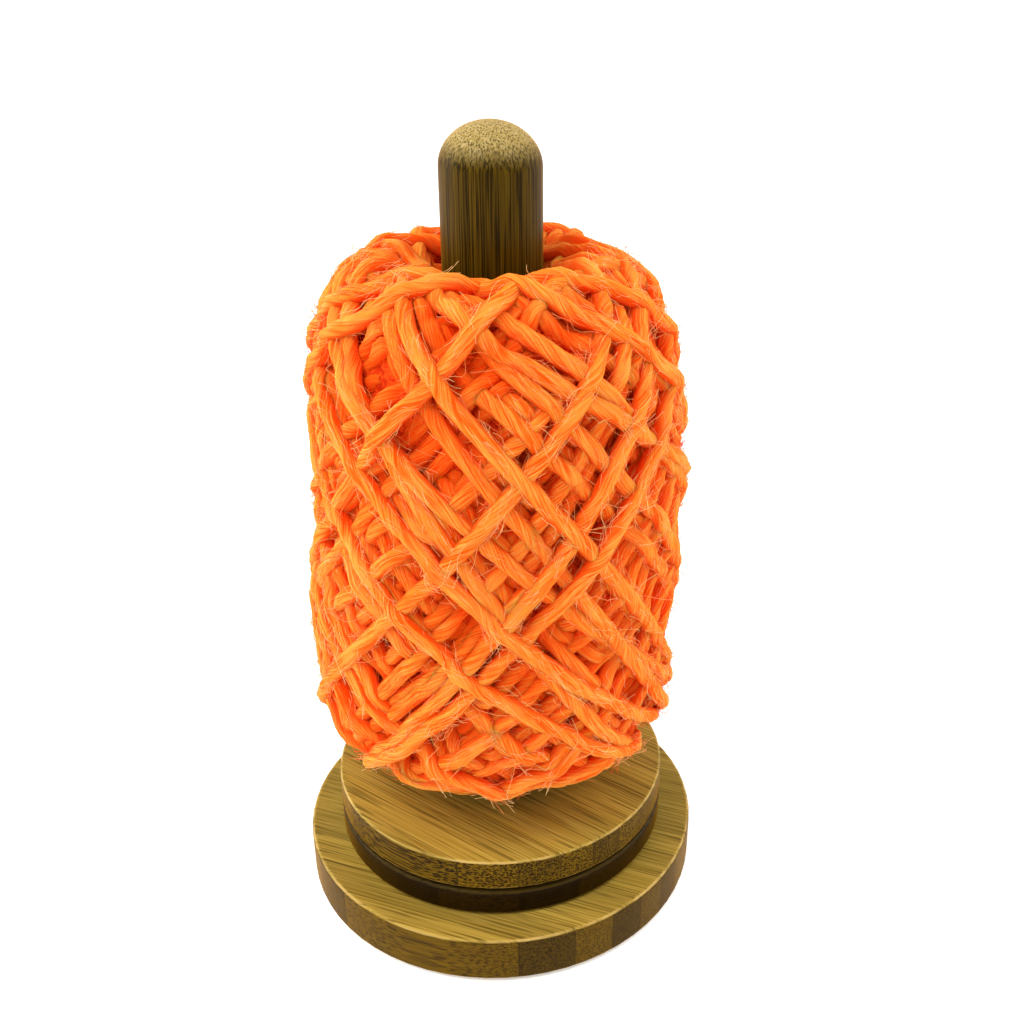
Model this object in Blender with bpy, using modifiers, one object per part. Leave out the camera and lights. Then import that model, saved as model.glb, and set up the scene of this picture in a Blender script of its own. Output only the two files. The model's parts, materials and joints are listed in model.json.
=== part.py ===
"""Bamboo yarn ball holder: a stand, a bearing, a turning platter with its spindle, and a wound ball of jute yarn.

Metres, +Z up. The origin is on the turning axis, on the surface that the pads stand on.
"""

import math

import bmesh
import bpy
import numpy as np

# Clearances between neighbouring pieces
SEAT_GAP = 0.0003
PLATTER_RUNNING_GAP = 0.0012
SHOULDER_RUNNING_GAP = 0.0015
HEAD_RUNNING_GAP = 0.0009
BALL_GAP = 0.00015
CAGE_POCKET_GAP = 0.0002
SPINDLE_TIP_GAP = 0.002
CUT_OVERRUN = 0.002

# Pads under the base
PAD_COUNT = 4
PAD_RADIUS = 0.006
PAD_THICKNESS = 0.002
PAD_PROUD = 0.001
PAD_EDGE = 0.0003
PAD_CIRCLE_RADIUS = 0.048
PAD_FIRST_ANGLE = math.radians(45.0)

# Base disc
BASE_RADIUS = 0.060
BASE_THICKNESS = 0.015
BASE_ARRIS = 0.0012

# Riser disc, screwed on the base
RISER_RADIUS = 0.050
RISER_THICKNESS = 0.0083
RISER_ARRIS = 0.0012

# Platter, which turns
PLATTER_RADIUS = 0.050
PLATTER_THICKNESS = 0.010
PLATTER_ARRIS = 0.0010

# Spindle, a dowel with a domed end
SPINDLE_RADIUS = 0.013
SPINDLE_LENGTH = 0.192
SPINDLE_DOME_HEIGHT = 0.0112
SPINDLE_FOOT_CHAMFER = 0.0006

# Ball bearing, 8 by 22 by 7 mm
BEARING_BORE_RADIUS = 0.004
BEARING_OUTER_RADIUS = 0.011
BEARING_WIDTH = 0.007
BEARING_CHAMFER = 0.0003
BEARING_SINK = 0.003
BEARING_BALL_COUNT = 7
BEARING_BALL_RADIUS = 0.00198
BALL_CIRCLE_RADIUS = 0.0075
INNER_LAND_RADIUS = 0.00605
OUTER_LAND_RADIUS = 0.0091
SHIELD_SEAT_RADIUS = 0.0097
SHIELD_SEAT_DEPTH = 0.0008
SHIELD_THICKNESS = 0.0003
SHIELD_RECESS = 0.0002
CAGE_THICKNESS = 0.0012
CAGE_RISE = 0.0026
CAGE_DROP = 0.0009

# Axle bolt, washer, spacer and threaded insert
BOLT_HEAD_RADIUS = 0.0065
BOLT_HEAD_HEIGHT = 0.005
BOLT_HEAD_CHAMFER = 0.0005
BOLT_LENGTH = 0.040
BOLT_TIP_CHAMFER = 0.0008
BOLT_SOCKET_FLATS = 0.005
BOLT_SOCKET_DEPTH = 0.0025
HEAD_POCKET_RADIUS = 0.008
WASHER_RADIUS = 0.0057
WASHER_THICKNESS = 0.0008
SPACER_RADIUS = 0.006
INSERT_RADIUS = 0.006
INSERT_LENGTH = 0.015
INSERT_RIDGE_COUNT = 4
INSERT_RIDGE_HEIGHT = 0.0005

# Wood screws that hold the riser on the base
SCREW_COUNT = 3
SCREW_CIRCLE_RADIUS = 0.030
SCREW_FIRST_ANGLE = math.radians(90.0)
SCREW_LENGTH = 0.019
SCREW_RECESS = 0.0005
SCREW_HEAD_RADIUS = 0.004
SCREW_CONE_HEIGHT = 0.0026
SCREW_SHANK_RADIUS = 0.002
SCREW_CORE_RADIUS = 0.0015
SCREW_THREAD_START = 0.0085
SCREW_THREAD_COUNT = 4
SCREW_TIP_HEIGHT = 0.0025
SCREW_SLOT_LENGTH = 0.0046
SCREW_SLOT_WIDTH = 0.0011
SCREW_SLOT_DEPTH = 0.0014

# Ball of yarn: its outside, and the bore that slides over the spindle
BALL_HEIGHT = 0.159
BALL_BELLY_RADIUS = 0.054
BALL_UPPER_RADIUS = 0.0515
LOWER_SHOULDER_WIDTH = 0.030
LOWER_SHOULDER_HEIGHT = 0.027
UPPER_SHOULDER_WIDTH = 0.024
UPPER_SHOULDER_HEIGHT = 0.022
BALL_BORE_GAP = 0.0015
YARN_DIAMETER = 0.0046
TURN_RADIUS = 0.024
LAYER_STEP = 0.0055
CORE_BACKING_GAP = 0.0016
CORE_COLLAR_GAP = 0.0006
CORE_LIP = 0.004

# Winding pattern: the yarn goes up and down the ball in passes that cross each other
PASS_COUNT = 14
TURN_COUNT = 19
POINTS_PER_PASS = 32
PASS_SHARPNESS_SHARE = 0.85

# Fineness of the shapes
DISC_STEPS = 64
SPINDLE_STEPS = 36
RING_STEPS = 24
CORE_STEPS = 32
SMALL_STEPS = 24
SCREW_STEPS = 14
ARRIS_STEPS = 3
DOME_STEPS = 7
GROOVE_STEPS = 4
SHOULDER_STEPS = 8
CORE_SHOULDER_STEPS = 5
SOCKET_SIDES = 6
BEARING_BALL_SEGMENTS = 10
BEARING_BALL_RINGS = 6
MERGE_DISTANCE = 0.00001
SHARP_ANGLE = math.radians(35.0)
GAP_SAMPLES = 4

# Heights above the surface that the pads stand on
BASE_BOTTOM = PAD_PROUD
BASE_TOP = BASE_BOTTOM + BASE_THICKNESS
RISER_BOTTOM = BASE_TOP + SEAT_GAP
RISER_TOP = RISER_BOTTOM + RISER_THICKNESS
PLATTER_BOTTOM = RISER_TOP + PLATTER_RUNNING_GAP
PLATTER_TOP = PLATTER_BOTTOM + PLATTER_THICKNESS
SPINDLE_BOTTOM = PLATTER_TOP + SEAT_GAP
BALL_BOTTOM = PLATTER_TOP + SEAT_GAP
BEARING_POCKET_FLOOR = BASE_TOP - BEARING_SINK
BEARING_BOTTOM = BEARING_POCKET_FLOOR + SEAT_GAP
BEARING_MIDDLE = BEARING_BOTTOM + BEARING_WIDTH / 2
BEARING_TOP = BEARING_BOTTOM + BEARING_WIDTH
BEARING_POCKET_CEILING = BEARING_TOP + SEAT_GAP
WASHER_TOP = BEARING_BOTTOM - SEAT_GAP
WASHER_BOTTOM = WASHER_TOP - WASHER_THICKNESS
BOLT_HEAD_TOP = WASHER_BOTTOM - SEAT_GAP
BOLT_HEAD_BOTTOM = BOLT_HEAD_TOP - BOLT_HEAD_HEIGHT
HEAD_POCKET_FLOOR = BOLT_HEAD_BOTTOM - HEAD_RUNNING_GAP
BOLT_TIP = BOLT_HEAD_TOP + BOLT_LENGTH
SPACER_BOTTOM = BEARING_TOP + SEAT_GAP
SPACER_TOP = PLATTER_BOTTOM - SEAT_GAP
SCREW_BOTTOM = BASE_BOTTOM + SCREW_RECESS

# Radii of holes and shafts that fit each other
BEARING_POCKET_RADIUS = BEARING_OUTER_RADIUS + SEAT_GAP
AXLE_RADIUS = BEARING_BORE_RADIUS - SEAT_GAP
AXLE_HOLE_RADIUS = AXLE_RADIUS + SEAT_GAP
SHOULDER_HOLE_RADIUS = SPACER_RADIUS + SHOULDER_RUNNING_GAP
GROOVE_RADIUS = BEARING_BALL_RADIUS + BALL_GAP
BALL_BORE_RADIUS = SPINDLE_RADIUS + BALL_BORE_GAP
YARN_RADIUS = YARN_DIAMETER / 2
INNER_LAYER_DEPTH = YARN_RADIUS + LAYER_STEP
CORE_DEPTH = INNER_LAYER_DEPTH + YARN_RADIUS + CORE_BACKING_GAP
CORE_COLLAR_RADIUS = TURN_RADIUS - YARN_RADIUS - CORE_COLLAR_GAP

# Colours, linear red, green and blue
BAMBOO = (0.330, 0.230, 0.075)
DARK_BAMBOO = (0.145, 0.095, 0.030)
STEEL = (0.560, 0.560, 0.570)
BRASS = (0.600, 0.420, 0.160)
NYLON = (0.520, 0.500, 0.440)
PAD_GREY = (0.060, 0.060, 0.065)
YARN_ORANGE = (0.950, 0.200, 0.010)
YARN_SHADOW = (0.550, 0.030, 0.003)


def clear_scene():
    """Remove whatever the file holds before the model is made."""
    for item in list(bpy.data.objects):
        bpy.data.objects.remove(item, do_unlink=True)
    for group in list(bpy.data.collections):
        bpy.data.collections.remove(group)


def new_collection(name):
    """Make a collection under the scene's own."""
    group = bpy.data.collections.new(name)
    bpy.context.scene.collection.children.link(group)
    return group


def new_material(name, colour, roughness, metallic=0.0):
    """Make a Principled material of one colour."""
    material = bpy.data.materials.new(name)
    material.use_nodes = True
    shader = material.node_tree.nodes["Principled BSDF"]
    shader.inputs["Base Color"].default_value = (*colour, 1.0)
    shader.inputs["Roughness"].default_value = roughness
    shader.inputs["Metallic"].default_value = metallic
    material.diffuse_color = (*colour, 1.0)
    return material


def new_axis(group, name, height):
    """Make an empty on the turning axis, which a moving body hangs on."""
    axis = bpy.data.objects.new(name, None)
    group.objects.link(axis)
    axis.location = (0.0, 0.0, height)
    return axis


def place(piece, axis, height, radius=0.0, angle=0.0):
    """Hang a piece on an axis, at a height above the floor and at a radius and angle round the axis."""
    piece.parent = axis
    across = radius * math.cos(angle)
    along = radius * math.sin(angle)
    piece.location = (across, along, height - axis.location.z)
    piece.rotation_euler = (0.0, 0.0, angle)
    return piece


def arc(centre, radii, start, end, steps):
    """Give the points of a round stretch of a profile, its two ends included."""
    points = []
    for step in range(steps + 1):
        angle = math.radians(start + (end - start) * step / steps)
        points.append((centre[0] + radii[0] * math.cos(angle), centre[1] + radii[1] * math.sin(angle)))
    return points


def turned(group, name, profile, steps, closed=False):
    """Turn a profile of (radius, height) points round the axis with a Screw modifier."""
    edges = [(index, index + 1) for index in range(len(profile) - 1)]
    if closed:
        edges.append((len(profile) - 1, 0))
    mesh = bpy.data.meshes.new(name)
    mesh.from_pydata([(radius, 0.0, height) for radius, height in profile], edges, [])
    piece = bpy.data.objects.new(name, mesh)
    group.objects.link(piece)
    screw = piece.modifiers.new("turn", "SCREW")
    screw.axis = "Z"
    screw.angle = math.tau
    screw.steps = steps
    screw.render_steps = steps
    screw.use_merge_vertices = True
    screw.merge_threshold = MERGE_DISTANCE
    screw.use_smooth_shade = True
    return piece


def disc_profile(radius, thickness, arris):
    """Give the rim of a disc with two rounded arrises, from its top face down to its underside."""
    top = arc((radius - arris, thickness - arris), (arris, arris), 90.0, 0.0, ARRIS_STEPS)
    bottom = arc((radius - arris, arris), (arris, arris), 0.0, -90.0, ARRIS_STEPS)
    return top + bottom


def as_cutter(cutter, cutters):
    """Keep a cutter out of the model's own collection and out of renders."""
    for group in list(cutter.users_collection):
        group.objects.unlink(cutter)
    cutters.objects.link(cutter)
    cutter.hide_render = True
    cutter.display_type = "WIRE"
    return cutter


def cut(piece, cutter):
    """Cut one piece with one cutter."""
    boolean = piece.modifiers.new(cutter.name, "BOOLEAN")
    boolean.operation = "DIFFERENCE"
    boolean.solver = "EXACT"
    boolean.object = cutter


def settle(piece):
    """Turn a piece and its modifiers into one plain mesh, smooth but for its sharp edges."""
    bpy.context.view_layer.update()
    graph = bpy.context.evaluated_depsgraph_get()
    mesh = bpy.data.meshes.new_from_object(piece.evaluated_get(graph))
    piece.modifiers.clear()
    piece.data = mesh
    mesh.name = piece.name
    mesh.shade_smooth()
    mesh.set_sharp_from_angle(angle=SHARP_ANGLE)
    return piece


def finish(piece, material):
    """Give a settled piece its material."""
    settle(piece)
    piece.data.materials.clear()
    piece.data.materials.append(material)
    return piece


def around(count, first_angle):
    """Give the angles of pieces that are spaced evenly round the axis."""
    return [first_angle + math.tau * index / count for index in range(count)]


def make_pads(group, axis):
    """Make the pads, which stand in shallow pockets under the base."""
    material = new_material("pad_rubber", PAD_GREY, 0.75)
    profile = [
        (0.0, PAD_THICKNESS),
        (PAD_RADIUS, PAD_THICKNESS),
        (PAD_RADIUS, PAD_EDGE),
        (PAD_RADIUS - PAD_EDGE, 0.0),
        (0.0, 0.0),
    ]
    first = finish(turned(group, "foot_pad_1", profile, SMALL_STEPS), material)
    for index, angle in enumerate(around(PAD_COUNT, PAD_FIRST_ANGLE)):
        pad = first
        if index:
            pad = bpy.data.objects.new(f"foot_pad_{index + 1}", first.data)
            group.objects.link(pad)
        place(pad, axis, 0.0, PAD_CIRCLE_RADIUS, angle)


def screw_profile():
    """Give the outside of a countersunk wood screw that points up, from its tip down to its head."""
    profile = [(0.0, SCREW_LENGTH)]
    thread_end = SCREW_LENGTH - SCREW_TIP_HEIGHT
    pitch = (thread_end - SCREW_THREAD_START) / SCREW_THREAD_COUNT
    for index in range(SCREW_THREAD_COUNT):
        height = thread_end - pitch * index
        profile.append((SCREW_CORE_RADIUS, height))
        profile.append((SCREW_SHANK_RADIUS, height - pitch / 2))
    profile.append((SCREW_CORE_RADIUS, SCREW_THREAD_START))
    profile.append((SCREW_SHANK_RADIUS, SCREW_THREAD_START - pitch / 2))
    profile.append((SCREW_SHANK_RADIUS, SCREW_CONE_HEIGHT))
    profile.append((SCREW_HEAD_RADIUS, SEAT_GAP))
    profile.append((SCREW_HEAD_RADIUS, 0.0))
    profile.append((0.0, 0.0))
    return profile


def slot_cutter(cutters, name, size, turn):
    """Make a box that cuts one slot of a cross recess in a face at height zero."""
    bpy.ops.mesh.primitive_cube_add(size=1.0)
    cutter = bpy.context.object
    cutter.name = name
    cutter.scale = size
    bpy.ops.object.transform_apply(location=False, rotation=False, scale=True)
    cutter.rotation_euler = (0.0, 0.0, turn)
    return as_cutter(cutter, cutters)


def make_screws(group, cutters, axis):
    """Make the wood screws, which come up through the base into the riser."""
    material = new_material("screw_steel", STEEL, 0.35, 1.0)
    first = turned(group, "riser_screw_1", screw_profile(), SCREW_STEPS)
    slot_size = (SCREW_SLOT_LENGTH, SCREW_SLOT_WIDTH, 2 * SCREW_SLOT_DEPTH)
    for number, turn in enumerate((0.0, math.pi / 2)):
        cut(first, slot_cutter(cutters, f"screw_slot_cutter_{number + 1}", slot_size, turn))
    finish(first, material)
    for index, angle in enumerate(around(SCREW_COUNT, SCREW_FIRST_ANGLE)):
        screw = first
        if index:
            screw = bpy.data.objects.new(f"riser_screw_{index + 1}", first.data)
            group.objects.link(screw)
        place(screw, axis, SCREW_BOTTOM, SCREW_CIRCLE_RADIUS, angle)


def make_pad_cutters(cutters, axis):
    """Make the cutters for the pads' pockets."""
    made = []
    radius = PAD_RADIUS + SEAT_GAP
    top = PAD_THICKNESS + SEAT_GAP
    profile = [(0.0, top), (radius, top), (radius, -CUT_OVERRUN), (0.0, -CUT_OVERRUN)]
    for index, angle in enumerate(around(PAD_COUNT, PAD_FIRST_ANGLE)):
        cutter = settle(turned(cutters, f"pad_pocket_cutter_{index + 1}", profile, SMALL_STEPS))
        place(as_cutter(cutter, cutters), axis, 0.0, PAD_CIRCLE_RADIUS, angle)
        made.append(cutter)
    return made


def make_screw_cutters(cutters, axis):
    """Make the cutters for the screws' countersinks and holes, through the base and into the riser."""
    made = []
    shank = SCREW_SHANK_RADIUS + SEAT_GAP
    head = SCREW_HEAD_RADIUS + SEAT_GAP
    top = SCREW_LENGTH + SEAT_GAP
    bottom = -SCREW_RECESS - CUT_OVERRUN
    profile = [
        (0.0, top),
        (shank, top),
        (shank, SCREW_CONE_HEIGHT + SEAT_GAP),
        (head, 2 * SEAT_GAP),
        (head, bottom),
        (0.0, bottom),
    ]
    for index, angle in enumerate(around(SCREW_COUNT, SCREW_FIRST_ANGLE)):
        cutter = settle(turned(cutters, f"screw_hole_cutter_{index + 1}", profile, SCREW_STEPS))
        place(as_cutter(cutter, cutters), axis, SCREW_BOTTOM, SCREW_CIRCLE_RADIUS, angle)
        made.append(cutter)
    return made


def make_base(group, axis, pad_cutters, screw_cutters):
    """Make the base disc, with a stepped pocket for the bearing and the bolt's head."""
    bearing_floor = BEARING_POCKET_FLOOR - BASE_BOTTOM
    head_floor = HEAD_POCKET_FLOOR - BASE_BOTTOM
    profile = [
        (0.0, head_floor),
        (HEAD_POCKET_RADIUS, head_floor),
        (HEAD_POCKET_RADIUS, bearing_floor),
        (BEARING_POCKET_RADIUS, bearing_floor),
        (BEARING_POCKET_RADIUS, BASE_THICKNESS),
    ]
    profile += disc_profile(BASE_RADIUS, BASE_THICKNESS, BASE_ARRIS)
    profile.append((0.0, 0.0))
    base = place(turned(group, "base_disc", profile, DISC_STEPS), axis, BASE_BOTTOM)
    for cutter in pad_cutters + screw_cutters:
        cut(base, cutter)
    finish(base, new_material("base_bamboo", BAMBOO, 0.35))


def make_riser(group, axis, screw_cutters):
    """Make the riser disc, whose shoulder traps the bearing against the base."""
    ceiling = BEARING_POCKET_CEILING - RISER_BOTTOM
    profile = [(SHOULDER_HOLE_RADIUS, RISER_THICKNESS)]
    profile += disc_profile(RISER_RADIUS, RISER_THICKNESS, RISER_ARRIS)
    profile += [
        (BEARING_POCKET_RADIUS, 0.0),
        (BEARING_POCKET_RADIUS, ceiling),
        (SHOULDER_HOLE_RADIUS, ceiling),
    ]
    riser = place(turned(group, "riser_disc", profile, DISC_STEPS, closed=True), axis, RISER_BOTTOM)
    for cutter in screw_cutters:
        cut(riser, cutter)
    finish(riser, new_material("riser_bamboo", DARK_BAMBOO, 0.35))


def make_bearing_rings(group, stand_axis, turntable_axis):
    """Make the bearing's outer ring, which stays, and its inner ring, which turns with the axle."""
    middle = BEARING_WIDTH / 2
    centre = (BALL_CIRCLE_RADIUS, middle)
    radii = (GROOVE_RADIUS, GROOVE_RADIUS)
    outer_reach = math.degrees(math.acos((OUTER_LAND_RADIUS - BALL_CIRCLE_RADIUS) / GROOVE_RADIUS))
    outer = [
        (BEARING_OUTER_RADIUS - BEARING_CHAMFER, BEARING_WIDTH),
        (BEARING_OUTER_RADIUS, BEARING_WIDTH - BEARING_CHAMFER),
        (BEARING_OUTER_RADIUS, BEARING_CHAMFER),
        (BEARING_OUTER_RADIUS - BEARING_CHAMFER, 0.0),
        (SHIELD_SEAT_RADIUS, 0.0),
        (SHIELD_SEAT_RADIUS, SHIELD_SEAT_DEPTH),
        (OUTER_LAND_RADIUS, SHIELD_SEAT_DEPTH),
    ]
    outer += arc(centre, radii, -outer_reach, outer_reach, GROOVE_STEPS)
    outer += [
        (OUTER_LAND_RADIUS, BEARING_WIDTH - SHIELD_SEAT_DEPTH),
        (SHIELD_SEAT_RADIUS, BEARING_WIDTH - SHIELD_SEAT_DEPTH),
        (SHIELD_SEAT_RADIUS, BEARING_WIDTH),
    ]
    inner_reach = math.degrees(math.acos((BALL_CIRCLE_RADIUS - INNER_LAND_RADIUS) / GROOVE_RADIUS))
    inner = [(INNER_LAND_RADIUS, BEARING_WIDTH)]
    inner += arc(centre, radii, 180.0 - inner_reach, 180.0 + inner_reach, GROOVE_STEPS)
    inner += [(INNER_LAND_RADIUS, 0.0), (BEARING_BORE_RADIUS, 0.0), (BEARING_BORE_RADIUS, BEARING_WIDTH)]
    steel = new_material("bearing_steel", STEEL, 0.22, 1.0)
    outer_ring = turned(group, "bearing_outer_ring", outer, RING_STEPS, closed=True)
    finish(place(outer_ring, stand_axis, BEARING_BOTTOM), steel)
    inner_ring = turned(group, "bearing_inner_ring", inner, RING_STEPS, closed=True)
    finish(place(inner_ring, turntable_axis, BEARING_BOTTOM), steel.copy())


def make_bearing_shields(group, axis):
    """Make the two thin shields that close the bearing, seated on the outer ring's ledges."""
    inside = INNER_LAND_RADIUS + SEAT_GAP
    outside = SHIELD_SEAT_RADIUS - SEAT_GAP
    profile = [(outside, SHIELD_THICKNESS), (outside, 0.0), (inside, 0.0), (inside, SHIELD_THICKNESS)]
    heights = {
        "bearing_shield_bottom": BEARING_BOTTOM + SHIELD_RECESS,
        "bearing_shield_top": BEARING_TOP - SHIELD_RECESS - SHIELD_THICKNESS,
    }
    for name, height in heights.items():
        shield = place(turned(group, name, profile, RING_STEPS, closed=True), axis, height)
        finish(shield, new_material(name + "_steel", STEEL, 0.4, 1.0))


def make_bearing_balls(group, axis):
    """Make the bearing's balls, evenly round the groove."""
    material = new_material("ball_steel", STEEL, 0.12, 1.0)
    mesh = bpy.data.meshes.new("bearing_ball")
    shape = bmesh.new()
    bmesh.ops.create_uvsphere(
        shape, u_segments=BEARING_BALL_SEGMENTS, v_segments=BEARING_BALL_RINGS, radius=BEARING_BALL_RADIUS
    )
    shape.to_mesh(mesh)
    shape.free()
    mesh.shade_smooth()
    mesh.materials.append(material)
    for index, angle in enumerate(around(BEARING_BALL_COUNT, 0.0)):
        ball = bpy.data.objects.new(f"bearing_ball_{index + 1}", mesh)
        group.objects.link(ball)
        place(ball, axis, BEARING_MIDDLE, BALL_CIRCLE_RADIUS, angle)


def make_bearing_cage(group, cutters, axis):
    """Make the crown cage, a ring with a round pocket over each ball."""
    inside = BALL_CIRCLE_RADIUS - CAGE_THICKNESS / 2
    outside = BALL_CIRCLE_RADIUS + CAGE_THICKNESS / 2
    profile = [(outside, CAGE_RISE), (outside, -CAGE_DROP), (inside, -CAGE_DROP), (inside, CAGE_RISE)]
    cage = place(turned(group, "bearing_cage", profile, RING_STEPS, closed=True), axis, BEARING_MIDDLE)
    for index, angle in enumerate(around(BEARING_BALL_COUNT, 0.0)):
        mesh = bpy.data.meshes.new(f"cage_pocket_cutter_{index + 1}")
        shape = bmesh.new()
        bmesh.ops.create_uvsphere(
            shape,
            u_segments=BEARING_BALL_SEGMENTS,
            v_segments=BEARING_BALL_RINGS,
            radius=BEARING_BALL_RADIUS + CAGE_POCKET_GAP,
        )
        shape.to_mesh(mesh)
        shape.free()
        cutter = bpy.data.objects.new(mesh.name, mesh)
        cutters.objects.link(cutter)
        place(as_cutter(cutter, cutters), axis, BEARING_MIDDLE, BALL_CIRCLE_RADIUS, angle)
        cut(cage, cutter)
    finish(cage, new_material("cage_nylon", NYLON, 0.5))


def make_bolt(group, cutters, axis):
    """Make the axle bolt, whose head hangs in the base and whose shank holds the spindle."""
    tip = BOLT_TIP - BOLT_HEAD_BOTTOM
    profile = [
        (0.0, tip),
        (AXLE_RADIUS - BOLT_TIP_CHAMFER, tip),
        (AXLE_RADIUS, tip - BOLT_TIP_CHAMFER),
        (AXLE_RADIUS, BOLT_HEAD_HEIGHT),
        (BOLT_HEAD_RADIUS, BOLT_HEAD_HEIGHT),
        (BOLT_HEAD_RADIUS, BOLT_HEAD_CHAMFER),
        (BOLT_HEAD_RADIUS - BOLT_HEAD_CHAMFER, 0.0),
        (0.0, 0.0),
    ]
    bolt = place(turned(group, "axle_bolt", profile, SMALL_STEPS), axis, BOLT_HEAD_BOTTOM)
    socket_height = BOLT_SOCKET_DEPTH + CUT_OVERRUN
    bpy.ops.mesh.primitive_cylinder_add(
        vertices=SOCKET_SIDES, radius=BOLT_SOCKET_FLATS / math.sqrt(3.0), depth=socket_height
    )
    cutter = bpy.context.object
    cutter.name = "bolt_socket_cutter"
    as_cutter(cutter, cutters)
    place(cutter, axis, BOLT_HEAD_BOTTOM + BOLT_SOCKET_DEPTH - socket_height / 2)
    cut(bolt, cutter)
    finish(bolt, new_material("bolt_steel", STEEL, 0.3, 1.0))


def make_washer_and_spacer(group, axis):
    """Make the washer under the inner ring and the spacer that carries the platter on it."""
    washer = [
        (WASHER_RADIUS, WASHER_THICKNESS),
        (WASHER_RADIUS, 0.0),
        (AXLE_HOLE_RADIUS, 0.0),
        (AXLE_HOLE_RADIUS, WASHER_THICKNESS),
    ]
    height = SPACER_TOP - SPACER_BOTTOM
    spacer = [(SPACER_RADIUS, height), (SPACER_RADIUS, 0.0), (AXLE_HOLE_RADIUS, 0.0), (AXLE_HOLE_RADIUS, height)]
    piece = place(turned(group, "axle_washer", washer, SMALL_STEPS, closed=True), axis, WASHER_BOTTOM)
    finish(piece, new_material("washer_steel", STEEL, 0.35, 1.0))
    piece = place(turned(group, "axle_spacer", spacer, SMALL_STEPS, closed=True), axis, SPACER_BOTTOM)
    finish(piece, new_material("spacer_steel", STEEL, 0.3, 1.0))


def make_insert(group, axis):
    """Make the threaded insert in the spindle's foot, with ridges that grip the wood."""
    pitch = INSERT_LENGTH / INSERT_RIDGE_COUNT
    root = INSERT_RADIUS - INSERT_RIDGE_HEIGHT
    profile = []
    for index in range(INSERT_RIDGE_COUNT):
        top = INSERT_LENGTH - pitch * index
        profile.append((root, top))
        profile.append((INSERT_RADIUS, top - pitch / 2))
    profile += [(root, 0.0), (AXLE_HOLE_RADIUS, 0.0), (AXLE_HOLE_RADIUS, INSERT_LENGTH)]
    insert = place(turned(group, "threaded_insert", profile, SMALL_STEPS, closed=True), axis, SPINDLE_BOTTOM)
    finish(insert, new_material("insert_brass", BRASS, 0.3, 1.0))


def make_platter(group, axis):
    """Make the platter, the turning disc that the yarn stands on."""
    profile = [(AXLE_HOLE_RADIUS, PLATTER_THICKNESS)]
    profile += disc_profile(PLATTER_RADIUS, PLATTER_THICKNESS, PLATTER_ARRIS)
    profile.append((AXLE_HOLE_RADIUS, 0.0))
    platter = place(turned(group, "platter", profile, DISC_STEPS, closed=True), axis, PLATTER_BOTTOM)
    finish(platter, new_material("platter_bamboo", BAMBOO, 0.35))


def make_spindle(group, axis):
    """Make the spindle, bored at its foot for the insert and the end of the bolt."""
    shoulder = SPINDLE_LENGTH - SPINDLE_DOME_HEIGHT
    profile = arc((0.0, shoulder), (SPINDLE_RADIUS, SPINDLE_DOME_HEIGHT), 90.0, 0.0, DOME_STEPS)
    profile[0] = (0.0, SPINDLE_LENGTH)
    insert_top = INSERT_LENGTH + SEAT_GAP
    hole_top = BOLT_TIP - SPINDLE_BOTTOM + SPINDLE_TIP_GAP
    profile += [
        (SPINDLE_RADIUS, SPINDLE_FOOT_CHAMFER),
        (SPINDLE_RADIUS - SPINDLE_FOOT_CHAMFER, 0.0),
        (INSERT_RADIUS + SEAT_GAP, 0.0),
        (INSERT_RADIUS + SEAT_GAP, insert_top),
        (AXLE_HOLE_RADIUS, insert_top),
        (AXLE_HOLE_RADIUS, hole_top),
        (0.0, hole_top),
    ]
    spindle = place(turned(group, "spindle", profile, SPINDLE_STEPS), axis, SPINDLE_BOTTOM)
    finish(spindle, new_material("spindle_bamboo", DARK_BAMBOO, 0.4))


def ball_outline(depth, steps):
    """Give the ball's outside, or a layer that lies this deep under it, from its foot to its top.

    The list runs from the turning radius near the bore, round the lower shoulder, up the side and
    round the upper shoulder, as (radius, height) points above the foot of the ball.
    """
    lower_centre = (BALL_BELLY_RADIUS - LOWER_SHOULDER_WIDTH, LOWER_SHOULDER_HEIGHT)
    lower_radii = (LOWER_SHOULDER_WIDTH - depth, LOWER_SHOULDER_HEIGHT - depth)
    upper_centre = (BALL_UPPER_RADIUS - UPPER_SHOULDER_WIDTH, BALL_HEIGHT - UPPER_SHOULDER_HEIGHT)
    upper_radii = (UPPER_SHOULDER_WIDTH - depth, UPPER_SHOULDER_HEIGHT - depth)
    outline = arc(lower_centre, lower_radii, -90.0, 0.0, steps)
    outline += arc(upper_centre, upper_radii, 0.0, 90.0, steps)
    lowest = max(TURN_RADIUS, lower_centre[0])
    outline[0] = (lowest, depth)
    if TURN_RADIUS < upper_centre[0]:
        outline.append((TURN_RADIUS, BALL_HEIGHT - depth))
    return outline


def along(outline, share):
    """Give the point of an outline at a share of its length."""
    points = np.array(outline)
    steps = np.linalg.norm(np.diff(points, axis=0), axis=1)
    reached = np.concatenate(([0.0], np.cumsum(steps))) / steps.sum()
    return np.interp(share, reached, points[:, 0]), np.interp(share, reached, points[:, 1])


def winding_points():
    """Give the yarn's path: each pass climbs on the inner layer and comes down on the outer one.

    The height swings between the ball's two ends while the angle round the axis grows steadily, so
    climbing and falling stretches cross. The yarn changes layer where it turns round the bore.
    """
    inner = ball_outline(INNER_LAYER_DEPTH, SHOULDER_STEPS)
    outer = ball_outline(YARN_RADIUS, SHOULDER_STEPS)
    points = []
    for index in range(PASS_COUNT * POINTS_PER_PASS - 1):
        phase = math.tau * (index + 1 / 2) / POINTS_PER_PASS
        swing = math.asin(PASS_SHARPNESS_SHARE * math.cos(phase)) / math.asin(PASS_SHARPNESS_SHARE)
        climbing = (phase % math.tau) < math.pi
        radius, height = along(inner if climbing else outer, (1 - swing) / 2)
        angle = phase * TURN_COUNT / PASS_COUNT
        points.append((radius * math.cos(angle), radius * math.sin(angle), height))
    return points


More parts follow.
